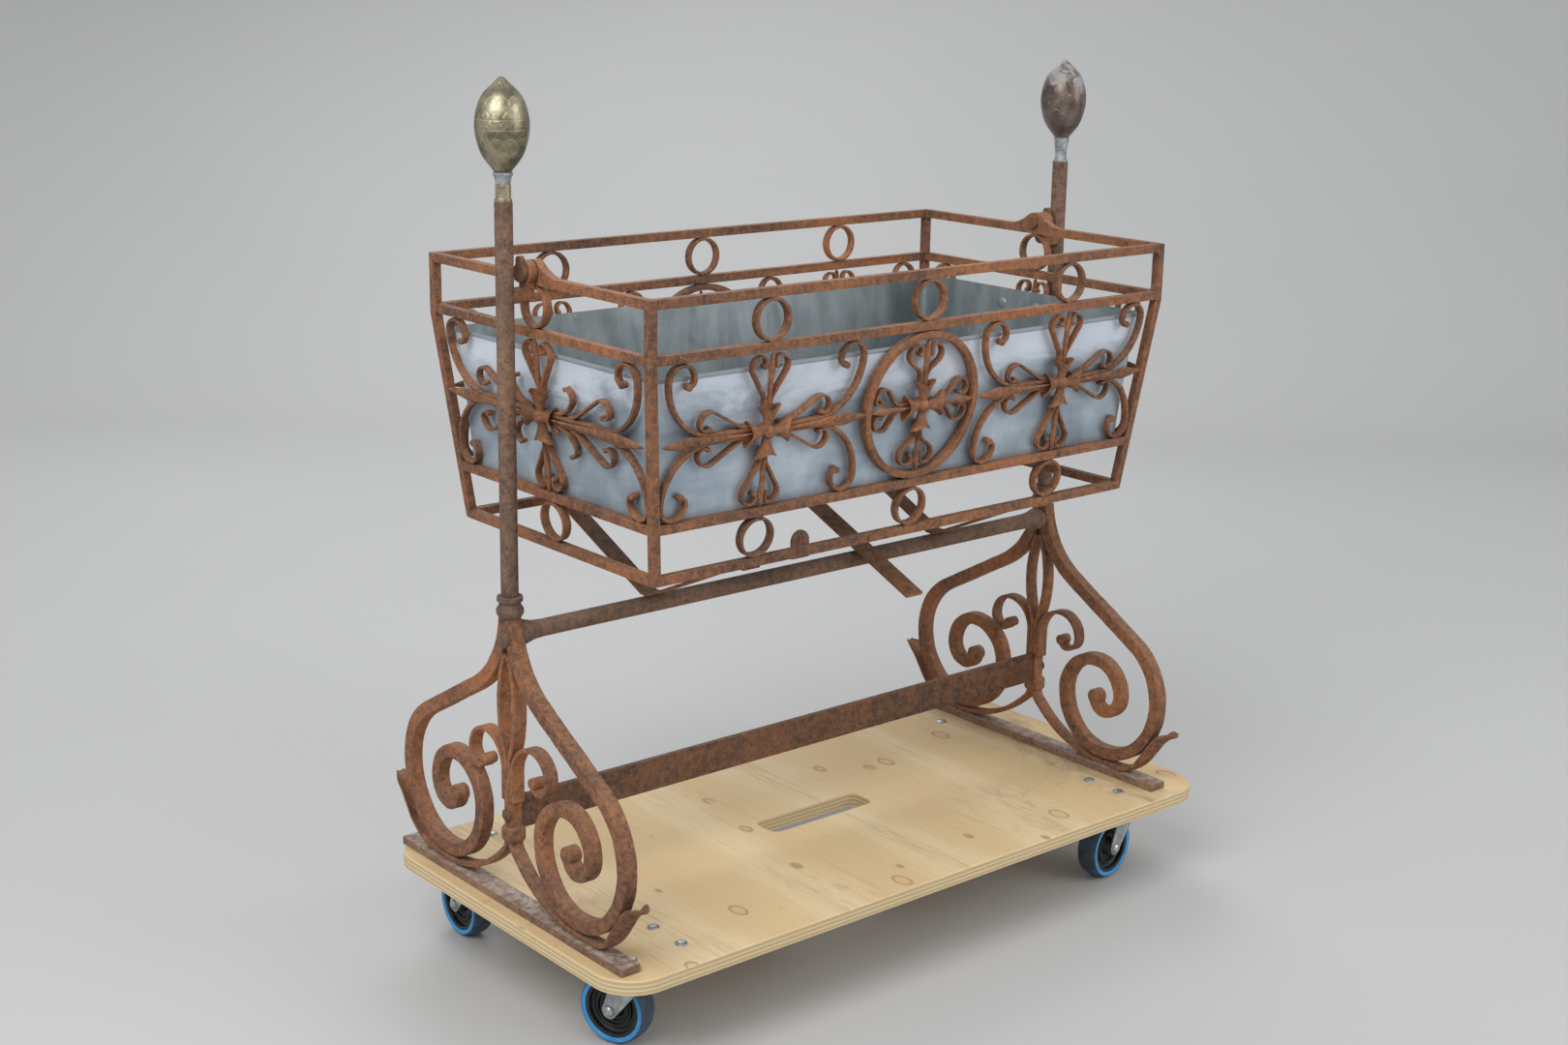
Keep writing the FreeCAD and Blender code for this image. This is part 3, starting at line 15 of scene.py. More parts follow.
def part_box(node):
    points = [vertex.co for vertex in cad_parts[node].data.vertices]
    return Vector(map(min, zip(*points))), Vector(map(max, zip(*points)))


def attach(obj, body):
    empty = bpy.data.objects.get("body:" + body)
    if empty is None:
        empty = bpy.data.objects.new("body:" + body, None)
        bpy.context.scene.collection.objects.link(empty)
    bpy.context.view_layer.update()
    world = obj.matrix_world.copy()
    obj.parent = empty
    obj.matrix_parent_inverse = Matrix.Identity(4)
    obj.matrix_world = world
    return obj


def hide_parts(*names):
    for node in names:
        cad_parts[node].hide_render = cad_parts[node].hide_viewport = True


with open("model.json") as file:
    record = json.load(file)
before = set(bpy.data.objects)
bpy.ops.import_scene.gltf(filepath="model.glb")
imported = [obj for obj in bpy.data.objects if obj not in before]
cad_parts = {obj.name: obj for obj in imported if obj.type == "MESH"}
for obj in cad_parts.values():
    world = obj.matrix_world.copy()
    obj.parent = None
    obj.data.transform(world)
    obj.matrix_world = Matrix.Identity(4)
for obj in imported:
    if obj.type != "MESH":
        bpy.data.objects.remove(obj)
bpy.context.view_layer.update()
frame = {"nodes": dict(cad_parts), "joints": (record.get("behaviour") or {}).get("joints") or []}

logging.basicConfig(level=logging.INFO, format="%(message)s")
LOG = logging.getLogger("caddy")

MM = 0.001
LINE_STEP = 6.0
ARC_STEP = 5.0
HAMMER_WAVE = 47.0
RING_WAVE = 60.0
DENT_WAVE = 330.0
POST_RADIUS = 11.5
DECK_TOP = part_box("plywood_deck")[1].z / MM
STAND_X = (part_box("post_left")[0].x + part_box("post_right")[1].x) / 2 / MM
HALF_SPAN = (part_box("post_right")[1].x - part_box("post_left")[0].x) / 2 / MM - POST_RADIUS

Number = Union[float, int]


class Side(Enum):
    """The two ends of the stand."""

    LEFT = -1
    RIGHT = 1

    @property
    def word(self) -> str:
        """The end's word as node names use it."""
        return self.name.lower()


class Plane(Enum):
    """The four sloping sides of the cradle, by the direction that each faces."""

    FRONT = (0, -1)
    RIGHT = (1, 0)
    BACK = (0, 1)
    LEFT = (-1, 0)

    @property
    def is_long(self) -> bool:
        """True on the two long sides."""
        return self.value[0] == 0


def linear(code: str) -> tuple[float, float, float, float]:
    """Turns a colour from display values to light values.

    Args:
        code: six hexadecimal digits.

    Returns:
        Red, green, blue and a full alpha.
    """
    shares = [int(code[k:k + 2], 16) / 255 for k in (0, 2, 4)]
    light = [c / 12.92 if c <= 0.04045 else ((c + 0.055) / 1.055) ** 2.4 for c in shares]
    return (light[0], light[1], light[2], 1.0)


class Sock:
    """A shader socket that does arithmetic: each operator adds the Math node that it names."""

    def __init__(self, paint: "Paint", socket: bpy.types.NodeSocket) -> None:
        """Keeps the material that the socket is part of.

        Args:
            paint: the material being built.
            socket: the output socket.
        """
        self.paint = paint
        self.socket = socket

    def _math(self, operation: str, a: "Value", b: "Value" = 0.0) -> "Sock":
        """One Math node.

        Args:
            operation: the node's own name for it.
            a: first value.
            b: second value, which some operations leave out.

        Returns:
            The result.
        """
        return self.paint.node("ShaderNodeMath", {"operation": operation}, {0: a, 1: b})

    def __add__(self, other: "Value") -> "Sock":
        """Sum."""
        return self._math("ADD", self, other)

    __radd__ = __add__

    def __sub__(self, other: "Value") -> "Sock":
        """Difference."""
        return self._math("SUBTRACT", self, other)

    def __rsub__(self, other: "Value") -> "Sock":
        """Difference from a number."""
        return self._math("SUBTRACT", other, self)

    def __mul__(self, other: "Value") -> "Sock":
        """Product."""
        return self._math("MULTIPLY", self, other)

    __rmul__ = __mul__

    def __truediv__(self, other: "Value") -> "Sock":
        """Quotient."""
        return self._math("DIVIDE", self, other)

    def __rtruediv__(self, other: "Value") -> "Sock":
        """Quotient of a number by this."""
        return self._math("DIVIDE", other, self)

    def __mod__(self, other: "Value") -> "Sock":
        """Remainder, never below 0."""
        return self._math("FLOORED_MODULO", self, other)

    def __abs__(self) -> "Sock":
        """Size without its sign."""
        return self._math("ABSOLUTE", self)

    def __gt__(self, other: "Value") -> "Sock":
        """1 where this is the greater, else 0."""
        return self._math("GREATER_THAN", self, other)

    def power(self, exponent: "Value") -> "Sock":
        """This to a power."""
        return self._math("POWER", self, exponent)

    def highest(self, other: "Value") -> "Sock":
        """The greater of two."""
        return self._math("MAXIMUM", self, other)

    def sine(self) -> "Sock":
        """Sine of an angle in radians."""
        return self._math("SINE", self)

    def step(self, low: Number, high: Number) -> "Sock":
        """Smooth rise from 0 at low to 1 at high.

        Args:
            low: the value that gives 0.
            high: the value that gives 1; below low, the rise is turned round.

        Returns:
            The share between them.
        """
        settings = {"interpolation_type": "SMOOTHSTEP", "clamp": True}
        inputs = {"Value": self, "From Min": low, "From Max": high, "To Min": 0.0, "To Max": 1.0}
        return self.paint.node("ShaderNodeMapRange", settings, inputs)


Value = Union[Sock, Number, Sequence[float]]


class Paint:
    """Builds one node material."""

    def __init__(self, name: str) -> None:
        """Starts an empty material with an output and a surface shader.

        Args:
            name: the material's name.
        """
        self.material = bpy.data.materials.new(name)
        self.material.use_nodes = True
        self.tree = self.material.node_tree
        self.tree.nodes.clear()
        self.output = self.tree.nodes.new("ShaderNodeOutputMaterial")
        self.shader = self.tree.nodes.new("ShaderNodeBsdfPrincipled")
        self.tree.links.new(self.shader.outputs[0], self.output.inputs[0])
        self.place = self.node("ShaderNodeTexCoord", {}, {}, "Object")

    def node(self, kind: str, settings: dict, inputs: dict, result: Union[int, str] = 0) -> Sock:
        """Adds a node: its settings first, then the values or links of its sockets.

        Args:
            kind: the node's type.
            settings: attributes to set, with a ramp's stops under "stops".
            inputs: a value or a Sock for each socket name or number.
            result: the output to hand back.

        Returns:
            The output as a Sock.
        """
        made = self.tree.nodes.new(kind)
        for key, value in settings.items():
            if key == "stops":
                ramp = made.color_ramp
                while len(ramp.elements) < len(value):
                    ramp.elements.new(0.5)
                for element, (position, colour) in zip(ramp.elements, value):
                    element.position = position
                    element.color = colour
            else:
                setattr(made, key, value)
        for key, value in inputs.items():
            socket = made.inputs[key]
            if isinstance(value, Sock):
                self.tree.links.new(value.socket, socket)
            else:
                socket.default_value = value
        return Sock(self, made.outputs[result])

    def axes(self, place: Optional[Sock] = None) -> tuple[Sock, Sock, Sock]:
        """The three parts of a place, in metres of the object."""
        source = place or self.place
        return tuple(self.node("ShaderNodeSeparateXYZ", {}, {0: source}, k) for k in range(3))

    def moved(self, scale: Sequence[float], shift: Sequence[float] = (0, 0, 0), turn: float = 0.0) -> Sock:
        """The object's coordinates, mapped.

        Args:
            scale: stretch along each axis.
            shift: what is added after it.
            turn: turn about Z in radians.

        Returns:
            The coordinates.
        """
        inputs = {"Vector": self.place, "Scale": scale, "Location": shift, "Rotation": (0, 0, turn)}
        return self.node("ShaderNodeMapping", {}, inputs)

    def noise(self, scale: float, detail: float = 4.0, rough: float = 0.55, place: Optional[Sock] = None,
              warp: float = 0.0) -> Sock:
        """Cloudy noise.

        Args:
            scale: features a metre.
            detail: octaves.
            rough: strength of the finer octaves.
            place: coordinates other than the object's.
            warp: how much the clouds swirl.

        Returns:
            A value about 0.5.
        """
        inputs = {"Vector": place or self.place, "Scale": scale, "Detail": detail, "Roughness": rough,
                  "Distortion": warp}
        return self.node("ShaderNodeTexNoise", {"noise_dimensions": "3D"}, inputs)

    def cells(self, scale: float, place: Optional[Sock] = None, jitter: float = 1.0) -> Sock:
        """Distance to the nearest cell point.

        Args:
            scale: cells a metre.
            place: coordinates other than the object's.
            jitter: how far the points stray from a grid.

        Returns:
            The distance, in cells.
        """
        inputs = {"Vector": place or self.place, "Scale": scale, "Randomness": jitter}
        return self.node("ShaderNodeTexVoronoi", {"feature": "F1"}, inputs, "Distance")

    def mix(self, share: Value, low: Value, high: Value) -> Sock:
        """Blends two colours.

        Args:
            share: 0 for the first colour, 1 for the second.
            low: first colour.
            high: second colour.

        Returns:
            The blend.
        """
        return self.node("ShaderNodeMix", {"data_type": "RGBA"}, {0: share, 6: low, 7: high}, 2)

    def ramp(self, value: Sock, *stops: tuple[float, str]) -> Sock:
        """Colours along a value.

        Args:
            value: what picks the colour.
            stops: pairs of a position and a colour code.

        Returns:
            The colour.
        """
        shades = [(at, linear(code)) for at, code in stops]
        return self.node("ShaderNodeValToRGB", {"stops": shades}, {0: value})

    def relief(self, height: Sock, depth: float, strength: float = 1.0) -> Sock:
        """A bump from a height.

        Args:
            height: the height, from 0 to 1.
            depth: how many metres that stands for.
            strength: share of the bump that shows.

        Returns:
            The bent normal.
        """
        return self.node("ShaderNodeBump", {}, {"Height": height, "Distance": depth, "Strength": strength})

    def wear(self, **values: Value) -> bpy.types.Material:
        """Sets the surface shader's sockets.

        Args:
            values: a value or link under each socket's name, with _ for a space.

        Returns:
            The finished material.
        """
        for key, value in values.items():
            socket = self.shader.inputs[key.replace("_", " ")]
            if isinstance(value, Sock):
                self.tree.links.new(value.socket, socket)
            else:
                socket.default_value = value
        return self.material


@dataclass(frozen=True)
class RustedIron:
    """Wrought iron with a mottled coat of rust, dark pits and dusty ledges."""

    name: str = "rusted_iron"
    dark: str = "3f2b23"
    middle: str = "694835"
    bright: str = "8a5c3d"
    glow: str = "a8693e"
    dust: str = "9a8674"
    dust_share: float = 0.3
    bare: float = 0.25
    pit: str = "221815"
    rubbed: str = "6f645d"

    def make(self) -> bpy.types.Material:
        """Clouds of rust at three scales, pitted by small cells, with dust on upward faces."""
        paint = Paint(self.name)
        broad = paint.noise(7.0, 4.0, 0.55, warp=0.3)
        mottle = paint.noise(110.0, 7.0, 0.75)
        grain = paint.noise(700.0, 3.0, 0.6)
        tone = broad * 0.45 + mottle * 0.75 + grain * 0.3 - 0.25
        colour = paint.ramp(tone, (0.30, self.dark), (0.42, self.middle), (0.53, self.bright),
                            (0.65, self.glow), (0.86, self.middle))
        blotch = paint.noise(24.0, 6.0, 0.7, warp=0.7).step(0.56, 0.70)
        colour = paint.mix(blotch * 0.5, colour, linear(self.dark))
        pits = paint.cells(300.0).step(0.34, 0.16) * paint.noise(70.0, 3.0).step(0.44, 0.56)
        colour = paint.mix(pits * 0.8, colour, linear(self.pit))
        up = paint.node("ShaderNodeNewGeometry", {}, {}, "Normal")
        upward = paint.axes(up)[2].step(0.35, 0.95)
        ledge = upward * paint.noise(70.0, 6.0, 0.75).step(0.38, 0.64) * self.dust_share
        colour = paint.mix(ledge, colour, linear(self.dust))
        polished = paint.noise(16.0, 6.0, 0.7, warp=0.6).step(0.60, 0.75) * self.bare
        colour = paint.mix(polished, colour, linear(self.rubbed))
        rough = 0.84 - polished * 0.4 - mottle * 0.14 + ledge * 0.1
        height = mottle * 0.6 + grain * 0.3 - pits * 0.8 + paint.noise(60.0, 4.0, 0.6) * 0.5
        return paint.wear(Base_Color=colour, Roughness=rough, Metallic=polished * 0.6,
                          Normal=paint.relief(height, 0.0009, 0.8))


@dataclass(frozen=True)
class AgedZinc:
    """Zinc sheet with a blue-grey bloom, pale wipes and stains that run down."""

    name: str = "aged_zinc"
    dark: str = "7f8d98"
    middle: str = "a2b0bb"
    pale: str = "bdcad4"
    palest: str = "d0d9e0"
    chalk: str = "d6dee8"
    # Inside colours: a greyer zinc, darkened as painted shade for the liner's hollow.
    inner_dark: str = "6a7375"
    inner_pale: str = "9ca5a8"
    speck: str = "e4e8ea"
    damp: str = "5c666d"
    # Colour of the painted shade line under the rolled bead.
    bead: str = "6f7a7c"
    rust: str = "8a6a4c"
    rim: float = 0.89

    def make(self) -> bpy.types.Material:
        """Level wipes and clouds, a chalky band under the rim outside, a greyer inside painted darker as
        shade, a painted shade line under the bead and a damp foot.
        """
        paint = Paint(self.name)
        z = paint.axes()[2]
        cloud = paint.noise(5.2, 6.0, 0.62, warp=0.6)
        wiped = paint.noise(9.0, 6.0, 0.68, paint.moved((0.45, 0.45, 3.4)))
        runs = paint.noise(15.0, 5.0, 0.6, paint.moved((1.8, 1.8, 0.45)))
        tone = cloud * 0.62 + wiped * 0.34 + runs * 0.16 - 0.06
        colour = paint.ramp(tone, (0.30, self.dark), (0.46, self.middle), (0.60, self.pale),
                            (0.76, self.palest))
        normal = paint.node("ShaderNodeNewGeometry", {}, {}, "True Normal")
        facing = paint.node("ShaderNodeVectorMath", {"operation": "DOT_PRODUCT"},
                            {0: normal, 1: paint.moved((1.0, 1.0, 0.0), (-STAND_X * MM, 0.0, 0.0))}, 1)
        outside = facing.step(-0.02, 0.02)
        height_share = z.step(self.rim - 0.15, self.rim - 0.015)
        chalk_noise = paint.noise(12.0, 8.0, 0.75, paint.moved((0.6, 0.6, 2.0)), 0.8)
        chalk = (height_share * height_share * 0.36 + chalk_noise).step(0.57, 0.88) * outside
        colour = paint.mix(chalk * 0.8, colour, linear(self.chalk))
        # Inside the liner: greyer zinc, painted darker as shade inside the hollow.
        inner = paint.mix((cloud * 0.6 + runs * 0.5).step(0.38, 0.72), linear(self.inner_dark),
                          linear(self.inner_pale))
        colour = paint.mix(outside, inner, colour)
        specks = paint.cells(85.0).step(0.10, 0.04) * paint.noise(11.0).step(0.5, 0.6)
        colour = paint.mix(specks * 0.7, colour, linear(self.speck))
        damp = z.step(self.rim - 0.08, self.rim - 0.2) * paint.noise(9.0, 5.0, 0.65).step(0.42, 0.62)
        colour = paint.mix(damp * 0.35, colour, linear(self.damp))
        # Painted shade: a dark line on the outside just under the rolled bead, where its shadow falls.
        bead = z.step(self.rim - 0.0085, self.rim - 0.0068) * outside
        colour = paint.mix(bead * 0.6, colour, linear(self.bead))
        rust = z.step(self.rim - 0.022, self.rim - 0.002) * paint.noise(26.0, 6.0, 0.7).step(0.60, 0.72)
        colour = paint.mix(rust * 0.6, colour, linear(self.rust))
        rough = 0.50 + chalk * 0.28 - runs * 0.1
        height = paint.noise(20.0, 4.0, 0.5) * 0.8 + paint.noise(420.0, 2.0) * 0.05
        return paint.wear(Base_Color=colour, Roughness=rough, Metallic=0.45 - chalk * 0.35,
                          Normal=paint.relief(height, 0.003, 0.32))


@dataclass(frozen=True)
class Plywood:
    """Rotary-cut plywood: grain along Y, small oval knots and plugs, with its plies at the edges."""

    name: str = "birch_plywood"
    pale: str = "d3b88a"
    warm: str = "c3a474"
    dark: str = "b8945f"
    low: str = "cdb184"
    light: str = "dac49c"
    knot: str = "c9a472"
    knot_ring: str = "9c7748"
    stain: str = "8e7450"
    speck: str = "6f5636"
    ply_pale: str = "e2cfa6"
    ply_dark: str = "ab8757"
    glue: str = "7a5c3a"
    plies: float = 7.0
    underside: float = 0.125
    thickness: float = 0.021

    def make(self) -> bpy.types.Material:
        """Warped bands make the flame grain; cells picked by a noise make knots; height picks a ply."""
        paint = Paint(self.name)
        x, _, z = paint.axes()
        warp = paint.noise(2.6, 3.0, 0.5, paint.moved((1.0, 0.30, 1.0)))
        flame = ((x * 26.0 + warp * 15.0).sine() * 0.5 + 0.5).power(1.6)
        fibre = paint.noise(30.0, 6.0, 0.7, paint.moved((9.0, 0.5, 1.0)))
        tone = flame * 0.26 + fibre * 0.55 + paint.noise(4.0, 3.0) * 0.25
        face = paint.ramp(tone, (0.28, self.low), (0.46, self.pale), (0.62, self.light), (0.78, self.warm))
        streak = paint.noise(14.0, 4.0, 0.6, paint.moved((7.0, 0.22, 1.0))).step(0.58, 0.74)
        face = paint.mix(streak * 0.45, face, linear(self.dark))
        spot_place = paint.moved((1.0, 0.62, 0.0))
        spot = paint.cells(15.0, spot_place, jitter=0.9)
        chosen = paint.noise(5.0, 1.0, 0.4, paint.moved((1.0, 1.0, 0.0), (3.1, 0.0, 0.0))).step(0.42, 0.48)
        knot = spot.step(0.150, 0.115) * chosen
        ring = abs(spot - 0.155).step(0.035, 0.012) * chosen
        face = paint.mix(knot * 0.38, face, linear(self.knot))
        face = paint.mix(ring * 0.65, face, linear(self.knot_ring))
        stain = paint.noise(3.4, 7.0, 0.75, paint.moved((1.0, 0.6, 1.0)), 1.2).step(0.55, 0.74)
        face = paint.mix(stain * 0.62, face, linear(self.stain))
        speck = paint.cells(38.0).step(0.09, 0.03) * paint.noise(17.0).step(0.52, 0.6)
        face = paint.mix(speck * 0.6, face, linear(self.speck))
        level = (z - self.underside) / self.thickness * self.plies
        seam = abs((level % 1.0) - 0.5).step(0.36, 0.48)
        odd = ((level / 2.0) % 1.0) > 0.5
        edge_grain = paint.noise(120.0, 4.0, 0.65, paint.moved((1.0, 1.0, 5.0)))
        edge = paint.mix(odd * 0.45 + edge_grain * 0.25, linear(self.ply_pale),
                         linear(self.ply_dark))
        edge = paint.mix(seam * 0.5, edge, linear(self.glue))
        normal = paint.node("ShaderNodeNewGeometry", {}, {}, "True Normal")
        side = abs(paint.axes(normal)[2]).step(0.75, 0.55)
        colour = paint.mix(side, face, edge)
        height = fibre * 0.5 - seam * side * 0.6 + paint.noise(900.0, 2.0) * 0.1
        return paint.wear(Base_Color=colour, Roughness=0.62 + fibre * 0.12,
                          Normal=paint.relief(height, 0.0006, 0.5))


@dataclass(frozen=True)
class EngravedBrass:
    """Tarnished brass egg with rings of engraved scales, each with a diamond."""

    name: str = "engraved_brass"
    centre_x: float = 0.0
    foot: float = 1.12
    height: float = 0.116
    rows: float = 7.0
    columns: float = 12.0
    band_row: float = 3.55
    cut: str = "c8c0a2"
    grime: str = "3f392c"

    def make(self) -> bpy.types.Material:
        """Angle round the axis and height make a tiling; circles about each tile's foot are the scales."""
        paint = Paint(self.name)
        x, y, z = paint.axes()
        turn = paint.node("ShaderNodeMath", {"operation": "ARCTAN2"}, {0: y, 1: x - self.centre_x})
        across = turn * (self.columns / (2 * math.pi)) + 60.0
        level = (z - self.foot) / self.height * self.rows
        row = level - (level % 1.0)
        column = (across + (row % 2.0) * 0.5) % 1.0 - 0.5
        rise = level % 1.0
        spread = (column * column * 1.15 + rise * rise * 1.0).power(0.5)
        arc = abs(spread - 0.56).step(0.045, 0.012)
        second = abs(spread - 0.46).step(0.035, 0.008) * 0.5
        diamond = abs(abs(column) * 1.5 + abs(rise - 0.28) - 0.15).step(0.05, 0.015)
        from_band = abs(level - self.band_row)
        band = from_band.step(0.34, 0.30)
        lozenge = abs(abs(column) * 1.4 + from_band * 1.3 - 0.34).step(0.06, 0.02)
        edge_line = abs(from_band - 0.36).step(0.06, 0.025)
        scales = arc.highest(second).highest(diamond) * (1.0 - band)
        cut = scales.highest(lozenge * band * 0.6).highest(edge_line * 0.7)
        tarnish = paint.noise(38.0, 6.0, 0.65, warp=0.4)
        colour = paint.ramp(tarnish, (0.32, "635d4c"), (0.48, "8f886f"), (0.62, "aca389"), (0.78, "c4bca4"))
        colour = paint.mix(cut * 0.5, colour, linear(self.cut))
        grime = paint.noise(130.0, 4.0, 0.6).step(0.56, 0.70)
        colour = paint.mix(grime * 0.3, colour, linear(self.grime))
        height = tarnish * 0.2 - cut * 0.5
        return paint.wear(Base_Color=colour, Metallic=0.9, Roughness=0.26 + tarnish * 0.2 + cut * 0.1,
                          Normal=paint.relief(height, 0.0007, 0.6))


@dataclass(frozen=True)
class WornBronze:
    """Dark worn egg whose coat has rubbed off in grey patches toward its tip."""

    name: str = "worn_bronze"
    tip: float = 1.236
    coat: str = "a3a3a1"
    scratch: str = "a09a90"

    def make(self) -> bpy.types.Material:
        """Brown clouds, with a grey coat where a noise plus the height passes a threshold."""
        paint = Paint(self.name)
        z = paint.axes()[2]
        cloud = paint.noise(30.0, 6.0, 0.65, warp=0.5)
        colour = paint.ramp(cloud, (0.30, "453a36"), (0.47, "6c5d55"), (0.62, "8f7f75"), (0.80, "ab9c92"))
        near_tip = z.step(self.tip - 0.075, self.tip)
        worn = (paint.noise(52.0, 6.0, 0.7, warp=0.8) + near_tip * 0.22).step(0.60, 0.70)
        colour = paint.mix(worn * 0.8, colour, linear(self.coat))
        scratch = paint.noise(90.0, 3.0, 0.6, paint.moved((1.0, 1.0, 6.0))).step(0.62, 0.72)
        colour = paint.mix(scratch * 0.3, colour, linear(self.scratch))
        height = cloud * 0.5 + worn * 0.4
        return paint.wear(Base_Color=colour, Metallic=0.7 - worn * 0.4, Roughness=0.38 + worn * 0.3,
                          Normal=paint.relief(height, 0.0008, 0.5))


@dataclass(frozen=True)
class Plating:
    """Zinc plating, pressed brass or cast zinc, with faint clouding."""

    name: str
    low: str
    high: str
    rough: float = 0.36
    metal: float = 0.85
    scale: float = 60.0

    def make(self) -> bpy.types.Material:
        """Two clouds of colour, with roughness that follows them."""
        paint = Paint(self.name)
        cloud = paint.noise(self.scale, 5.0, 0.6)
        fine = paint.noise(self.scale * 9.0, 3.0, 0.6)
        colour = paint.mix((cloud * 0.7 + fine * 0.3).step(0.35, 0.65), linear(self.low), linear(self.high))
        return paint.wear(Base_Color=colour, Metallic=self.metal, Roughness=self.rough + cloud * 0.16,
                          Normal=paint.relief(cloud + fine * 0.3, 0.0005, 0.25))


@dataclass(frozen=True)
class WornTread:
    """Blue elastic tyre whose tread has turned grey-brown with floor dirt."""

    name: str
    centre: tuple[float, float, float]
    radius: float = 0.05
    blue: str = "2a86c6"
    pale_blue: str = "48a2dc"
    dirt: str = "3b3733"

    def make(self) -> bpy.types.Material:
        """Distance from the axle picks the tread, which a noise makes dirty."""
        paint = Paint(self.name)
        away = paint.node("ShaderNodeVectorMath", {"operation": "DISTANCE"},
                          {0: paint.place, 1: self.centre}, 1)
        dirt = paint.noise(55.0, 6.0, 0.7)
        tread = away.step(self.radius - 0.0026, self.radius - 0.0006)
        base = paint.mix(dirt.step(0.3, 0.7), linear(self.blue), linear(self.pale_blue))
        colour = paint.mix(tread * (dirt.step(0.25, 0.6) * 0.35 + 0.6), base, linear(self.dirt))
        return paint.wear(Base_Color=colour, Roughness=0.55 + dirt * 0.2,
                          Normal=paint.relief(dirt + paint.noise(700.0) * 0.2, 0.0004, 0.4))


@dataclass(frozen=True)
class MouldedBlack:
    """Black moulded plastic with a fine eggshell skin and a little dust."""

    name: str = "moulded_black"
    black: str = "131314"
    dust: str = "4d4a47"

    def make(self) -> bpy.types.Material:
        """Near-black base lifted by dust in a noise."""
        paint = Paint(self.name)
        dust = paint.noise(45.0, 6.0, 0.7).step(0.45, 0.75)
        colour = paint.mix(dust * 0.3, linear(self.black), linear(self.dust))
        return paint.wear(Base_Color=colour, Roughness=0.38 + dust * 0.3,
                          Normal=paint.relief(paint.noise(1500.0, 2.0), 0.0002, 0.3))


@dataclass
class Patch:
    """Vertices in millimetres with their faces; it can be mapped, joined and put in the scene."""

    verts: np.ndarray
    faces: list

    def mapped(self, matrix: np.ndarray, shift: Sequence[float] = (0, 0, 0)) -> "Patch":
        """Multiplies by a 3 by 3 matrix and adds a shift; a mirroring one turns the faces round too.

        Args:
            matrix: rows give the new x, y and z from the old.
            shift: what is added after it.

        Returns:
            The mapped patch.
        """
        matrix = np.asarray(matrix, float)
        faces = self.faces
        if np.linalg.det(matrix) < 0:
            faces = [face[::-1] for face in faces]
        return Patch(self.verts @ matrix.T + np.asarray(shift, float), faces)

    @staticmethod
    def joined(patches: Sequence["Patch"]) -> "Patch":
        """All the patches as one."""
        starts = np.cumsum([0] + [len(p.verts) for p in patches])
        faces = []
        for start, patch in zip(starts, patches):
            offset = int(start)
            faces += [[k + offset for k in face] for face in patch.faces]
        return Patch(np.concatenate([p.verts for p in patches]), faces)


def wrap_grid(points: np.ndarray, close_rows: bool = False, caps: bool = True) -> Patch:
    """A closed skin on a grid of rows by columns, whose columns always join up.

    Args:
        points: array of rows, columns and 3.
        close_rows: joins the last row to the first.
        caps: closes the first and last rows with a face each.

    Returns:
        The patch, with quads along the rows.
    """
    rows, columns = points.shape[:2]
    index = np.arange(rows * columns).reshape(rows, columns)
    nearer = index if close_rows else index[:-1]
    further = np.roll(index, -1, axis=0) if close_rows else index[1:]
    quads = np.stack([nearer, np.roll(nearer, -1, 1), np.roll(further, -1, 1), further], axis=-1)
    faces = quads.reshape(-1, 4).tolist()
    if caps and not close_rows:
        faces.append(index[0][::-1].tolist())
        faces.append(index[-1].tolist())
    return Patch(points.reshape(-1, 3), faces)


class Trail:
    """A chain of lines and arcs in a plane, drawn like a turtle, sampled as arrays."""

    def __init__(self, u: float, v: float, heading: float) -> None:
        """Starts at (u, v) in millimetres, heading at an angle in degrees from +u."""
        self.u, self.v, self.heading = u, v, heading
        self.parts: list[np.ndarray] = []

    def line(self, length: float) -> "Trail":
        """Goes straight on, with a station each 6 mm or so.

        Args:
            length: how far.

        Returns:
            The trail.
        """
        share = np.linspace(0, 1, max(2, int(length / LINE_STEP) + 1), endpoint=False)
        angle = math.radians(self.heading)
        u = self.u + share * length * math.cos(angle)
        v = self.v + share * length * math.sin(angle)
        self.parts.append(np.stack([u, v, np.full_like(u, angle)], axis=-1))
        self.u += length * math.cos(angle)
        self.v += length * math.sin(angle)
        return self

    def arc(self, radius: float, turn: float) -> "Trail":
        """Turns, with a station each 5 degrees or so.

        Args:
            radius: radius of the turn.
            turn: angle in degrees, to the left where it is positive.

        Returns:
            The trail.
        """
        side = 1.0 if turn > 0 else -1.0
        normal = math.radians(self.heading + 90 * side)
        centre = (self.u + radius * math.cos(normal), self.v + radius * math.sin(normal))
        count = max(3, int(abs(turn) / ARC_STEP) + 1)
        angle = np.radians(self.heading + np.linspace(0, turn, count, endpoint=False))
        u = centre[0] + radius * np.cos(angle - side * math.pi / 2)
        v = centre[1] + radius * np.sin(angle - side * math.pi / 2)
        self.parts.append(np.stack([u, v, angle], axis=-1))
        self.heading += turn
        last = math.radians(self.heading) - side * math.pi / 2
        self.u = centre[0] + radius * math.cos(last)
        self.v = centre[1] + radius * math.sin(last)
        return self

    def volute(self, radii: Sequence[float], turn: float) -> "Trail":
        """Winds inwards through arcs of a quarter turn."""
        for radius in radii:
            self.arc(radius, turn)
        return self

    def stations(self) -> np.ndarray:
        """Rows of u, v and heading in radians, the end included."""
        end = np.array([[self.u, self.v, math.radians(self.heading)]])
        return np.concatenate(self.parts + [end])


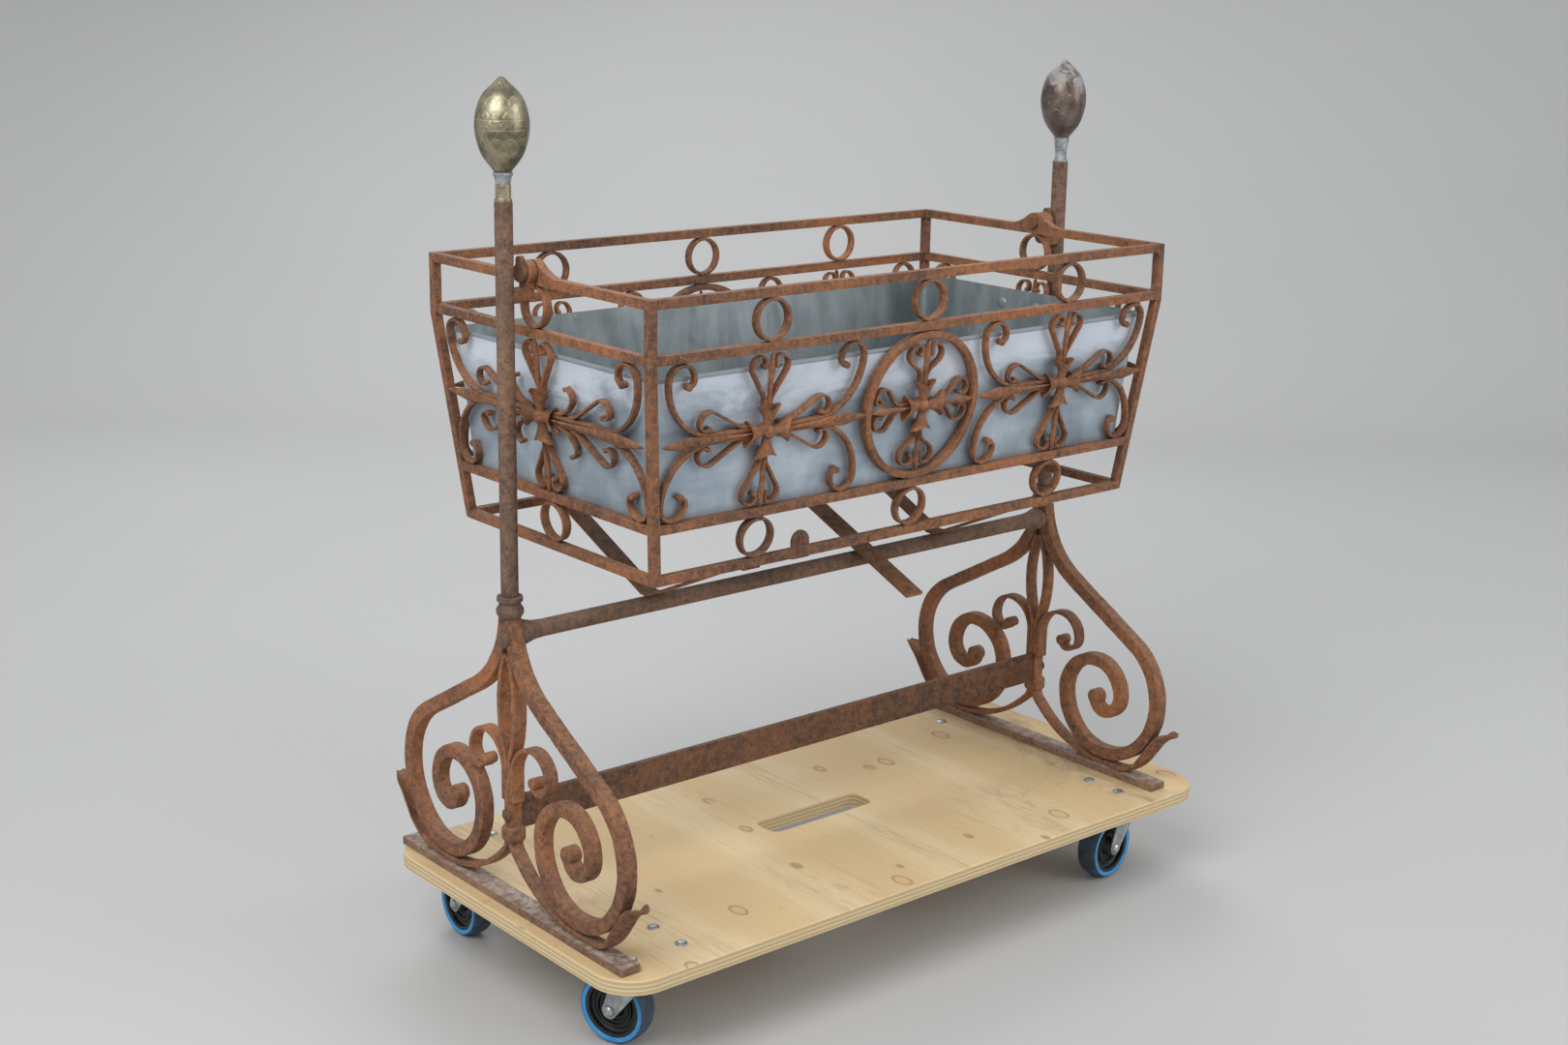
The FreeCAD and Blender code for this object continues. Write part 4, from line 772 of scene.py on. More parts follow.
def rounded_outline(corner_steps: int = 2, across: int = 1) -> tuple[np.ndarray, np.ndarray]:
    """A rounded rectangle as signs that scale with its half sizes and offsets that scale with its radius.

    Args:
        corner_steps: parts of each corner's arc.
        across: parts of each long side.

    Returns:
        Signs and unit offsets, each of points by 2, counter-clockwise in (first, second).
    """
    signs, offsets = [], []
    for k, (a, b) in enumerate(((1, -1), (1, 1), (-1, 1), (-1, -1))):
        arc = np.radians(-90 + 90 * k + np.linspace(0, 90, corner_steps + 1))
        signs.append(np.tile([a, b], (corner_steps + 1, 1)).astype(float))
        offsets.append(np.stack([np.cos(arc), np.sin(arc)], axis=-1))
        if across > 1 and k in (1, 3):
            between = np.linspace(a, -a, across + 1)[1:-1]
            signs.append(np.stack([between, np.full_like(between, b)], axis=-1))
            offsets.append(np.tile([0.0, float(b)], (across - 1, 1)))
    return np.concatenate(signs), np.concatenate(offsets)


def ripple(points: np.ndarray, length: float) -> np.ndarray:
    """Hammer marks: a product of slow sines of the place.

    Args:
        points: places, by 3.
        length: wave length.

    Returns:
        A height from -1 to 1 for each.
    """
    x, y, z = np.moveaxis(points / length * 2 * math.pi, -1, 0)
    return np.sin(x * 0.7 + 1.3 * np.sin(y)) * np.sin(z * 0.8 + 1.1 * np.sin(x * 1.3))


def forged_bar(trail: Trail, thickness: Union[float, np.ndarray], width: Union[float, np.ndarray],
               rounding: float = 1.2, dish: Union[float, np.ndarray] = 0.0, across: int = 1,
               hammer: float = 0.15) -> Patch:
    """A bar carried along a trail, as (u, v, depth) with depth about 0.

    Each station carries the rounded outline: its second axis is the trail's left normal and its first the
    depth. The dish lifts a point along the normal by the square of its share of the half width.

    Args:
        trail: the centre line.
        thickness: size across the trail, for all stations or for each.
        width: size along the depth, likewise.
        rounding: corner radius.
        dish: rise of the edges, likewise.
        across: parts of each wide side.
        hammer: depth of the hammer marks.

    Returns:
        The closed bar.
    """
    stations = trail.stations()
    count = len(stations)
    thick = np.broadcast_to(thickness, count).astype(float)[:, None] / 2
    wide = np.broadcast_to(width, count).astype(float)[:, None] / 2
    lift = np.broadcast_to(dish, count).astype(float)[:, None]
    signs, offsets = rounded_outline(2, across)
    radius = np.minimum(rounding, np.minimum(thick, wide) * 0.9)
    depth = signs[:, 0] * (wide - radius) + offsets[:, 0] * radius
    normal = signs[:, 1] * (thick - radius) + offsets[:, 1] * radius + lift * (depth / wide) ** 2
    angle = stations[:, 2:3]
    points = np.stack([stations[:, 0:1] - np.sin(angle) * normal, stations[:, 1:2] + np.cos(angle) * normal,
                       depth * np.ones_like(normal)], axis=-1)
    dents = ripple(points, HAMMER_WAVE)[..., None] * hammer
    centre = points.mean(axis=1, keepdims=True)
    outward = (points - centre) / np.linalg.norm(points - centre, axis=-1, keepdims=True)
    return wrap_grid((points + outward * dents - outward * hammer)[:, ::-1])


def turned_shape(profile: np.ndarray, steps: int = 48) -> Patch:
    """A closed (radius, height) profile turned about Z; a point on the axis becomes a small ring of a pole.

    Args:
        profile: points by 2, going round the section.
        steps: columns round the axis.

    Returns:
        The patch.
    """
    angle = np.linspace(0, 2 * math.pi, steps, endpoint=False)
    radius = profile[:, 0:1]
    points = np.stack([radius * np.cos(angle), radius * np.sin(angle),
                       profile[:, 1:2] * np.ones_like(angle)], axis=-1)
    return wrap_grid(points, caps=True)


def rounded_drum(radius: float, depth: float, rounding: float = 1.5, crown: float = 0.0) -> Patch:
    """A short drum about the depth axis, centred.

    Args:
        radius: outer radius.
        depth: length between its faces.
        rounding: radius of its rims.
        crown: rise of its faces toward the axis.

    Returns:
        The closed drum.
    """
    arc = np.radians(np.linspace(0, 90, 4))
    rim_r = radius - rounding + rounding * np.sin(arc)
    rim_z = depth / 2 - rounding + rounding * np.cos(arc)
    face_r = np.linspace(0.02, 1, 4)[:-1] * (radius - rounding)
    face_z = depth / 2 + crown * (1 - (face_r / radius) ** 2)
    upper = np.stack([np.concatenate([face_r, rim_r]), np.concatenate([face_z, rim_z])], axis=-1)
    lower = upper[::-1] * np.array([1, -1])
    return turned_shape(np.concatenate([upper, lower])[::-1], 28)


def smooth_through(points: Sequence[tuple[float, float]], count: int = 60) -> np.ndarray:
    """A smooth line through points: each stretch is a cubic whose end slopes come from its neighbours.

    Args:
        points: the points, by 2.
        count: samples in all.

    Returns:
        The samples, by 2.
    """
    knots = np.asarray(points, float)
    slopes = np.gradient(knots, axis=0)
    place = np.linspace(0, len(knots) - 1, count)
    left = np.minimum(place.astype(int), len(knots) - 2)
    t = (place - left)[:, None]
    a, b = knots[left], knots[left + 1]
    return ((1 + 2 * t) * (1 - t) ** 2 * a + t * (1 - t) ** 2 * slopes[left]
            + t * t * (3 - 2 * t) * b + t * t * (t - 1) * slopes[left + 1])


def put(name: str, patch: Patch, material: bpy.types.Material, body: str,
        nodes: Sequence[str] = (), smooth: float = 40.0) -> None:
    """Puts a patch in the scene as a piece that rides on a body.

    Args:
        name: the piece's name.
        patch: its mesh, in millimetres of the frame.
        material: its finish.
        body: the body that carries it.
        nodes: the nodes that it stands for.
        smooth: the greatest angle that is shaded smooth, in degrees.
    """
    mesh = bpy.data.meshes.new(name)
    mesh.from_pydata((patch.verts * MM).tolist(), [], patch.faces)
    mesh.validate()
    piece = bpy.data.objects.new(name, mesh)
    bpy.context.scene.collection.objects.link(piece)
    mesh.materials.append(material)
    mesh.shade_smooth()
    mesh.set_sharp_from_angle(angle=math.radians(smooth))
    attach(piece, body)
    if nodes:
        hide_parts(*nodes)
    LOG.info("%s: %d faces on %s", name, len(mesh.polygons), body)


def softened(node: str, material: bpy.types.Material, body: str, bevel: float) -> None:
    """Puts a copy of a node with merged faces and rounded edges in its place.

    Args:
        node: the node.
        material: its finish.
        body: the body that carries it.
        bevel: width of the rounding in millimetres.
    """
    mesh = frame["nodes"][node].data.copy()
    mesh.materials.clear()
    shape = bmesh.new()
    shape.from_mesh(mesh)
    bmesh.ops.remove_doubles(shape, verts=shape.verts, dist=2e-6)
    bmesh.ops.dissolve_limit(shape, angle_limit=math.radians(1.0), verts=shape.verts, edges=shape.edges)
    bmesh.ops.recalc_face_normals(shape, faces=shape.faces)
    shape.to_mesh(mesh)
    shape.free()
    piece = bpy.data.objects.new(node + "_dressed", mesh)
    bpy.context.scene.collection.objects.link(piece)
    mesh.materials.append(material)
    mesh.shade_smooth()
    mesh.set_sharp_from_angle(angle=math.radians(35.0))
    edge = piece.modifiers.new("rounded_edges", "BEVEL")
    edge.width = bevel * MM
    edge.segments = 2
    edge.limit_method = "ANGLE"
    edge.angle_limit = math.radians(38.0)
    edge.harden_normals = True
    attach(piece, body)
    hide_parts(node)
    LOG.info("%s: copied with rounded edges", node)


def dress(node: str, material: bpy.types.Material) -> None:
    """Gives a node its finish and leaves its shape.

    Args:
        node: the node.
        material: its finish.
    """
    for place in frame["nodes"][node].material_slots:
        place.material = material
    LOG.info("%s: dressed", node)


@dataclass
class Studio:
    """Camera as solved from the picture, pale floor, and soft lamps."""

    picture_width: float = 1620.0
    focal_pixels: float = 2232.9
    yaw: float = -40.325
    pitch: float = 14.979
    roll: float = 1.001
    stand_point: tuple[float, float, float] = (-1.9585, -2.2625, 1.2500)

    def camera(self) -> None:
        """Aims the camera: forward from yaw and pitch, then turned by the roll about it."""
        yaw, pitch, roll = (math.radians(a) for a in (self.yaw, self.pitch, self.roll))
        forward = Vector((-math.sin(yaw) * math.cos(pitch), math.cos(yaw) * math.cos(pitch),
                          -math.sin(pitch)))
        level = forward.cross(Vector((0, 0, 1))).normalized()
        up = level.cross(forward)
        right = level * math.cos(roll) + up * math.sin(roll)
        above = up * math.cos(roll) - level * math.sin(roll)
        data = bpy.data.cameras.new("camera")
        data.sensor_width = 36.0
        data.lens = data.sensor_width * self.focal_pixels / self.picture_width
        data.clip_end = 100.0
        camera = bpy.data.objects.new("camera", data)
        bpy.context.scene.collection.objects.link(camera)
        x, y, z = self.stand_point
        camera.matrix_world = Matrix((
            (right.x, above.x, -forward.x, x + STAND_X * MM),
            (right.y, above.y, -forward.y, y),
            (right.z, above.z, -forward.z, z + DECK_TOP * MM),
            (0, 0, 0, 1)))
        bpy.context.scene.camera = camera

    def floor(self) -> None:
        """A wide sheet that sweeps up into a backdrop behind the object."""
        along = np.linspace(-9, 9, 2)
        run = np.concatenate([[-9.0], np.linspace(3.2, 5.2, 24), [5.2]])
        rise = np.concatenate([[0.0], 2.0 - 2.0 * np.cos(np.linspace(0, math.pi / 2, 24)), [8.0]])
        turn = math.radians(self.yaw)
        grid = np.stack([along[None, :] * math.cos(turn) - run[:, None] * math.sin(turn),
                         along[None, :] * math.sin(turn) + run[:, None] * math.cos(turn),
                         np.repeat(rise[:, None], 2, 1)], axis=-1)
        index = np.arange(len(run) * 2).reshape(-1, 2)
        faces = np.stack([index[:-1, 0], index[:-1, 1], index[1:, 1], index[1:, 0]], -1).tolist()
        mesh = bpy.data.meshes.new("studio_floor")
        mesh.from_pydata(grid.reshape(-1, 3).tolist(), [], faces)
        mesh.shade_smooth()
        sheet = bpy.data.objects.new("studio_floor", mesh)
        bpy.context.scene.collection.objects.link(sheet)
        paint = Paint("studio_floor")
        cloud = paint.noise(0.5, 3.0)
        colour = paint.mix(cloud, linear("b6b6b5"), linear("c2c2c2"))
        mesh.materials.append(paint.wear(Base_Color=colour, Roughness=0.75))

    def lamp(self, name: str, place: tuple, size: float, watts: float) -> None:
        """A square lamp aimed at the middle of the object.

        Args:
            name: the lamp's name.
            place: where it stands, in metres.
            size: length of its sides.
            watts: its power.
        """
        data = bpy.data.lights.new(name, "AREA")
        data.size = size
        data.energy = watts
        lamp = bpy.data.objects.new(name, data)
        bpy.context.scene.collection.objects.link(lamp)
        lamp.location = place
        aim = Vector((0, 0, 0.6)) - Vector(place)
        lamp.rotation_mode = "QUATERNION"
        lamp.rotation_quaternion = aim.to_track_quat("-Z", "Y")

    def build(self) -> None:
        """Makes the camera, floor, lamps and world."""
        self.camera()
        self.floor()
        self.lamp("high_left", (-3.0, -1.2, 3.6), 2.6, 120.0)
        self.lamp("front_right", (2.2, -3.8, 2.6), 2.4, 60.0)
        self.lamp("behind", (1.5, 3.0, 3.4), 2.6, 60.0)
        world = bpy.data.worlds.new("studio")
        bpy.context.scene.world = world
        world.use_nodes = True
        back = world.node_tree.nodes["Background"]
        back.inputs[0].default_value = (0.95, 0.97, 1.0, 1.0)
        back.inputs[1].default_value = 0.62
        bpy.context.scene.view_settings.view_transform = "Standard"


@dataclass
class EndFrame:
    """One end of the stand: scroll legs, leaf bars and small scrolls.

    Sizes are in millimetres. A start is a width, a height and a heading; a bend or fold is a radius and
    an angle.
    """

    side: Side
    iron: bpy.types.Material
    bar: float = 20.0
    leg_start: tuple = (4.5, 402.0, -84.5)
    leg_neck: tuple = (140.0, 55)
    leg_slope: float = 149.0
    leg_belly: tuple = (101.0, -150.5)
    leg_radii: tuple = (84.0, 62.0, 50.0, 30.0, 20.0)
    leg_thinning: float = 3.0
    leg_thins_from: float = 0.55
    leg_eye: float = 12.0
    strip: float = 7.5
    almond_top: float = 352.0
    almond_half_angle: float = 22.8
    almond_radius: float = 186.0
    waist: tuple = (15.0, 22.0)
    stem_foot: float = 98.0
    stem_bend: tuple = (30.0, 48.0)
    fall_angle: float = 42.0
    sole_height: float = 12.0
    sole_start: float = 155.0
    sole: float = 30.0
    toe_bend: tuple = (80.0, 55.0)
    toe_rise: float = 30.0
    toe_fold: tuple = (60.0, -35.0)
    toe_height_limit: float = 120.0
    toe_widens: float = 205.0
    toe_full: float = 252.0
    toe_width: float = 34.0
    toe_thinning: float = 3.5
    toe_close: float = 17.0
    toe_end_width: float = 12.0
    toe_dish: float = 9.0
    curl_foot: float = 150.0
    curl_stem: float = 40.0
    curl_strip: float = 6.0
    curl_thinning: float = 0.8
    curl_radii: tuple = (45.0, 35.0, 21.0, 12.0)
    curl_eye: float = 8.0

    def stood(self, patch: Patch, mirror: int) -> Patch:
        """Maps (u, v, depth) to a width, a height on the deck and a depth along X.

        Args:
            patch: the drawing.
            mirror: sign of the width.

        Returns:
            The placed patch.
        """
        matrix = ((0, 0, 1), (mirror, 0, 0), (0, 1, 0))
        return patch.mapped(matrix, (STAND_X + self.side.value * HALF_SPAN, 0, DECK_TOP))

    def pair(self, patch: Patch) -> Patch:
        """The patch and its mirror image over the middle of the end."""
        return Patch.joined([self.stood(patch, 1), self.stood(patch, -1)])

    def legs(self) -> Patch:
        """Square bar from the neck down the slope and round the volute, thinner as it winds in."""
        trail = Trail(*self.leg_start).arc(*self.leg_neck).line(self.leg_slope)
        trail.arc(*self.leg_belly).volute(self.leg_radii, -90)
        count = len(trail.stations())
        wound = np.linspace(0, 1, count)
        end_share = np.clip((wound - self.leg_thins_from) / (1 - self.leg_thins_from), 0, 1)
        thickness = self.bar - self.leg_thinning * end_share
        bar = forged_bar(trail, thickness, self.bar - 0.4 * wound, rounding=2.0, across=3, hammer=0.35)
        bar.verts[:, 0] = np.maximum(bar.verts[:, 0], 0.0)
        end = rounded_drum(self.leg_eye, self.bar, 2.5, 0.8)
        end = end.mapped(np.eye(3), (trail.u + 1.0, trail.v, 0))
        return self.pair(Patch.joined([bar, end]))

    def leaves(self) -> Patch:
        """Thin bar: the almond's side, the stem, and the toe that widens to a dished leaf."""
        half = self.strip / 2
        trail = Trail(half, self.almond_top, self.almond_half_angle - 90)
        trail.arc(self.almond_radius, -self.almond_half_angle).arc(self.almond_radius, -self.waist[1])
        trail.arc(*self.waist).line(trail.v - self.stem_foot).arc(*self.stem_bend)
        slope = math.radians(self.fall_angle)
        drop, run = trail.v - self.sole_height - half, self.sole_start - trail.u
        share = (1 - math.cos(slope)) / math.sin(slope)
        straight = (drop - run * share) / (math.sin(slope) - math.cos(slope) * share)
        trail.line(straight).arc((run - straight * math.cos(slope)) / math.sin(slope), self.fall_angle)
        trail.line(self.sole).arc(*self.toe_bend).line(self.toe_rise).arc(*self.toe_fold)
        along, height = trail.stations()[:, 0], trail.stations()[:, 1]
        toe = np.where(height < self.toe_height_limit, along, 0.0)
        swell = np.clip((toe - self.toe_widens) / (self.toe_full - self.toe_widens), 0, 1)
        taper = np.sqrt(np.clip((toe.max() - toe) / self.toe_close, 0.0, 1))
        bulge = swell * swell * (3 - 2 * swell)
        width = self.bar + (self.toe_width - self.bar) * bulge
        closing = np.maximum(self.toe_width * taper, self.toe_end_width)
        width = np.where(toe > self.toe_full, closing, width)
        thickness = self.strip - self.toe_thinning * swell
        dish = self.toe_dish * bulge * np.clip(taper, 0.4, 1)
        bar = forged_bar(trail, thickness, width, rounding=1.5, dish=dish, across=8, hammer=0.25)
        return self.pair(bar)

    def curls(self) -> Patch:
        """Thin strip that leaves the stem and curls outward to a round eye."""
        trail = Trail(self.strip + self.curl_strip / 2, self.curl_foot, 90.0).line(self.curl_stem)
        trail.volute(self.curl_radii, -90)
        wound = np.linspace(0, 1, len(trail.stations()))
        thickness = self.curl_strip - self.curl_thinning * wound
        bar = forged_bar(trail, thickness, self.bar, rounding=1.3, across=2, hammer=0.2)
        end = rounded_drum(self.curl_eye, self.bar + 0.5, 2.0, 0.5)
        return self.pair(Patch.joined([bar, end.mapped(np.eye(3), (trail.u, trail.v, 0))]))

    def build(self) -> None:
        """Puts the three kinds of scroll in the scene."""
        for kind, patch in (("scroll_legs", self.legs()), ("leaf_bars", self.leaves()),
                            ("small_scrolls", self.curls())):
            node = kind + "_" + self.side.word
            put(node + "_forged", patch, self.iron, "platform", [node], 20.0)


@dataclass
class CradlePanels:
    """Scrolls, hearts, leaves, bosses and rings of the four sloping sides; sizes in millimetres."""

    iron: bpy.types.Material
    bar: float = 12.0
    top_half: tuple = (459.9, 247.35)
    foot_half: tuple = (429.5, 215.4)
    kink: float = 764.3
    foot: float = 480.6
    lower_rail: float = 548.5
    inset: float = 1.75
    recess: float = 1.0
    depth: float = 10.5
    clearance: float = 0.1
    top_height: float = 844.4
    ring_bar: float = 9.5
    small_ring_bar: float = 4.5
    long_stem: float = 2.0
    long_curl: float = 9.0
    long_ball: float = 4.5
    heart_bend: float = 18.0
    heart_straight_end: float = 35.5
    heart_curl_turn: float = -130.0
    heart_ball: float = 3.1
    scroll_strip: float = 5.0
    heart_strip: float = 3.5
    gap: float = 0.4
    curl: float = 19.5
    stem_start: float = 22.0

    def placed(self, patch: Patch, plane: Plane, s: float, t: float) -> Patch:
        """Maps (along, up the slope, out) of a panel to the frame.

        Args:
            patch: the drawing.
            plane: the panel.
            s: shift along it.
            t: shift up its slope.

        Returns:
            The placed patch.
        """
        out = np.array([plane.value[0], plane.value[1], 0.0])
        along = np.array([-plane.value[1], plane.value[0], 0.0])
        axis = 1 if plane.is_long else 0
        lean = self.lean(plane)
        up = out * math.sin(lean) + np.array([0, 0, math.cos(lean)])
        normal = np.cross(along, up)
        origin = np.array([STAND_X, 0, DECK_TOP + self.foot])
        start = out * self.foot_half[axis] + origin + along * s + up * t
        return patch.mapped(np.stack([along, up, normal], axis=1), start)

    def lean(self, plane: Plane) -> float:
        """Angle of a panel from the upright, in radians."""
        axis = 1 if plane.is_long else 0
        return math.atan2(self.top_half[axis] - self.foot_half[axis], self.kink - self.foot)

    def height(self, z: float, plane: Plane) -> float:
        """Distance up a panel's slope of a height above the deck."""
        return (z - self.foot) / math.cos(self.lean(plane))

    def sink(self, plane: Plane) -> float:
        """How much lower a level face lies at the bars' mid depth than at their outer faces."""
        return self.bar / 2 * math.tan(self.lean(plane))

    def rail_gap(self) -> float:
        """Gap that keeps a piece square to a panel clear of the rails' level faces."""
        return self.sink(Plane.FRONT) + self.clearance

    def pitch(self) -> float:
        """From the middle of a long side to the motif between its circle and its corner bar."""
        middle = (self.kink + self.lower_rail + self.bar) / 2
        return (self.band_half() + self.half(middle, 0) - self.bar) / 2 - self.inset

    def half(self, z: float, axis: int) -> float:
        """Outer half size of the cradle.

        Args:
            z: height above the deck.
            axis: 0 along X, 1 along Y.

        Returns:
            The half size.
        """
        share = max(0.0, (self.kink - z) / (self.kink - self.foot))
        return self.top_half[axis] + (self.foot_half[axis] - self.top_half[axis]) * share

    def band_half(self) -> float:
        """Half the height of the ornament band, up the front slope."""
        plane = Plane.FRONT
        return (self.height(self.kink, plane) - self.height(self.lower_rail + self.bar, plane)) / 2

    def strip(self, trail: Trail, thickness: float, ball: float) -> Patch:
        """A strip set back from the face, thinner toward its curl, with a small rolled end.

        Args:
            trail: the centre line.
            thickness: mean thickness.
            ball: radius of the rolled end.

        Returns:
            The strip.
        """
        wound = np.linspace(0, 1, len(trail.stations()))
        bar = forged_bar(trail, thickness * (1.08 - 0.28 * wound), self.depth, rounding=0.9, hammer=0.12)
        end = rounded_drum(ball, self.depth + 0.6, 1.2, 0.3).mapped(np.eye(3), (trail.u, trail.v, 0))
        joined = Patch.joined([bar, end])
        return joined.mapped(np.eye(3), (0, 0, -self.recess - self.depth / 2))

    def long_scroll(self, reach: float) -> Patch:
        """Large scroll: a straight stem, a wide bend and a tight curl near the corner.

        Args:
            reach: furthest point along the panel.

        Returns:
            The strip.
        """
        stem = self.long_stem + self.scroll_strip / 2
        top = self.band_half() - self.scroll_strip / 2 - self.rail_gap()
        bend = top - self.curl - stem
        trail = Trail(self.stem_start, stem, 0).line(reach - self.scroll_strip / 2 - bend - self.stem_start)
        trail.arc(bend, 90).arc(self.curl, 180).arc(self.long_curl, 90)
        return self.strip(trail, self.scroll_strip, self.long_ball)

    def heart(self, start: float, stem: float, reach: float, half_width: float, lobe: float,
              curl: float) -> Patch:
        """Half a heart: it swings out to its width and reach, then curls back in.

        Args:
            start: where the stem leaves the boss.
            stem: the stem's distance from the arm's middle.
            reach: furthest point along the arm.
            half_width: widest point.
            lobe: radius of the outer lobe.
            curl: radius of the last curl.

        Returns:
            The strip.
        """
        straight = self.heart_straight_end - start if start < self.heart_straight_end else 4.0
        across = self.heart_bend + lobe
        rise_u = reach - lobe - start - straight
        rise_v = half_width - stem - across
        slope = math.sqrt(rise_u ** 2 + rise_v ** 2 - across ** 2)
        bend = math.degrees(math.atan2(rise_v, rise_u) + math.atan2(across, slope))
        trail = Trail(start, stem, 0).line(straight).arc(self.heart_bend, bend).line(slope)
        trail.arc(lobe, -90 - bend).arc(curl, self.heart_curl_turn)
        return self.strip(trail, self.heart_strip, self.heart_ball)

    def back_curl(self, stem: float) -> Patch:
        """Short scroll that turns back toward the middle of an end panel."""
        trail = Trail(self.stem_start, stem, 0).line(13.5).arc(34.0, 48.0).line(8.0).arc(11.0, 132.0)
        return self.strip(trail, self.heart_strip, self.heart_ball)

    def leaf(self, reach: float, half_width: float, thickness: float, middle: float) -> Patch:
        """Leaf along +u with a ridge down its middle; its half width grows by a power, then closes.

        Args:
            reach: the tip.
            half_width: half of its widest part.
            thickness: size out of the panel.
            middle: its middle height out of the panel.

        Returns:
            The closed leaf.
        """
        share = np.linspace(0, 1, 34)
        u = self.stem_start + (reach - self.stem_start) * share
        rise = 1.5 + (half_width - 1.5) * np.clip(share / 0.74, 0, 1) ** 1.5
        left = np.clip((1 - share) / 0.26, 0, 1)
        close = np.sqrt(left) * (0.72 + 0.28 * left)
        half = np.where(share > 0.74, np.maximum(half_width * close, 0.4), rise)[:, None]
        turn = np.linspace(0, 2 * math.pi, 12, endpoint=False)
        ridge = np.sign(np.sin(turn)) * np.abs(np.sin(turn)) ** 1.6
        points = np.stack([u[:, None] * np.ones(12), half * np.cos(turn), middle + thickness / 2 * ridge
                           * np.minimum(1.0, half / 2.0)], axis=-1)
        return wrap_grid(points)

    def petal(self) -> Patch:
        """Flared petal: an oval tube that widens by a power of the way to a notched, hollow mouth."""
        out = np.linspace(0, 1, 9)
        back = np.linspace(1, 0.45, 5)
        way = np.concatenate([out, back])
        wall = np.concatenate([np.zeros(9), np.full(5, 1.8)])[:, None]
        turn = np.linspace(0, 2 * math.pi, 32, endpoint=False)
        notch = 6.0 * (1 - np.abs(np.cos(turn)) ** 1.2) * way[:, None] ** 3
        u = 4.0 + 30.5 * way[:, None] - notch
        half_v = 5.2 + 12.9 * way[:, None] ** 1.9 - wall
        half_n = 4.6 + 5.2 * way[:, None] ** 1.3 - wall
        points = np.stack([u, half_v * np.cos(turn), half_n * np.sin(turn) - 0.5], axis=-1)
        points[..., 2] = np.maximum(points[..., 2], -11.0)
        return wrap_grid(points)

    def boss(self) -> Patch:
        """Four petals round a low button."""
        button = np.array([(0.1, -11.0), (9.0, -11.0), (9.0, 3.0), (8.2, 6.0), (6.0, 8.6), (3.0, 10.2),
                           (0.1, 10.8)])
        parts = [turned_shape(button, 28)]
        parts += [self.turned(self.petal(), quarter) for quarter in range(4)]
        return Patch.joined(parts)

    @staticmethod
    def turned(patch: Patch, quarter: int) -> Patch:
        """The patch turned by quarters of a turn in its plane."""
        cos, sin = ((1, 0), (0, 1), (-1, 0), (0, -1))[quarter % 4]
        return patch.mapped(((cos, -sin, 0), (sin, cos, 0), (0, 0, 1)))

    @staticmethod
    def four_ways(patch: Patch) -> list[Patch]:
        """The patch mirrored into all four quarters."""
        return [patch.mapped(np.diag([x, y, 1])) for x in (1, -1) for y in (1, -1)]

    def ring(self, radius: float, bar: float, depth: float, top: float) -> Patch:
        """Flat-bar ring.

        Args:
            radius: outer radius.
            bar: size across the bar.
            depth: size out of the panel.
            top: height of its front face.

        Returns:
            The ring.
        """
        signs, offsets = rounded_outline(2)
        half_bar, half_depth, soft = bar / 2, depth / 2, 1.0
        radial = radius - half_bar + signs[:, 0] * (half_bar - soft) + offsets[:, 0] * soft
        height = top - half_depth + signs[:, 1] * (half_depth - soft) + offsets[:, 1] * soft
        turn = np.linspace(0, 2 * math.pi, 64, endpoint=False)[:, None]
        points = np.stack([radial * np.cos(turn), radial * np.sin(turn), height * np.ones_like(turn)],
                          axis=-1)
        wobble = ripple(points, RING_WAVE)[..., None] * 0.2
        return wrap_grid(points[::-1] * (1 - wobble / radius), close_rows=True)

    def motif(self, side_reach: float, up_reach: float, heart: tuple, long_reach: float = 0.0,
              side_heart: Optional[tuple] = None, back_pair: bool = False) -> dict[str, list[Patch]]:
        """Pieces of one motif about its middle, keyed by node.

        Args:
            side_reach: tips of the side leaves.
            up_reach: tips of the upright leaves.
            heart: reach and half width of the upright hearts.
            long_reach: furthest point of the large scrolls, or 0 for none.
            side_heart: start, reach and half width of the side hearts.
            back_pair: adds the short scrolls that turn back.

        Returns:
            Lists of patches.
        """
        up = self.heart(self.stem_start, 3.9, heart[0], heart[1], 13.5, 8.0)
        below = up.mapped(np.diag([1, -1, 1]))
        hearts = [self.turned(p, q) for p in (up, below) for q in (1, 3)]
        scrolls = []
        width = 5.4
        beside = self.long_stem + self.scroll_strip + self.heart_strip / 2 + self.gap
        if long_reach:
            width = 9.0
            scrolls = self.four_ways(self.long_scroll(long_reach))
            start, reach, half_width = side_heart
            hearts += self.four_ways(self.heart(start, beside, reach, half_width, 15.0, 9.0))
        else:
            hearts += self.four_ways(up)
        if back_pair:
            hearts += self.four_ways(self.back_curl(beside))
        flat = self.leaf(side_reach, width, 5.0, 0.8)
        spoon = self.leaf(up_reach, 5.4, 8.0, -2.0)
        leaves = [flat, self.turned(flat, 2), self.turned(spoon, 1), self.turned(spoon, 3)]
        return {"bosses": [self.boss()], "panel_scrolls": scrolls, "heart_scrolls": hearts,
                "spear_leaves": leaves}

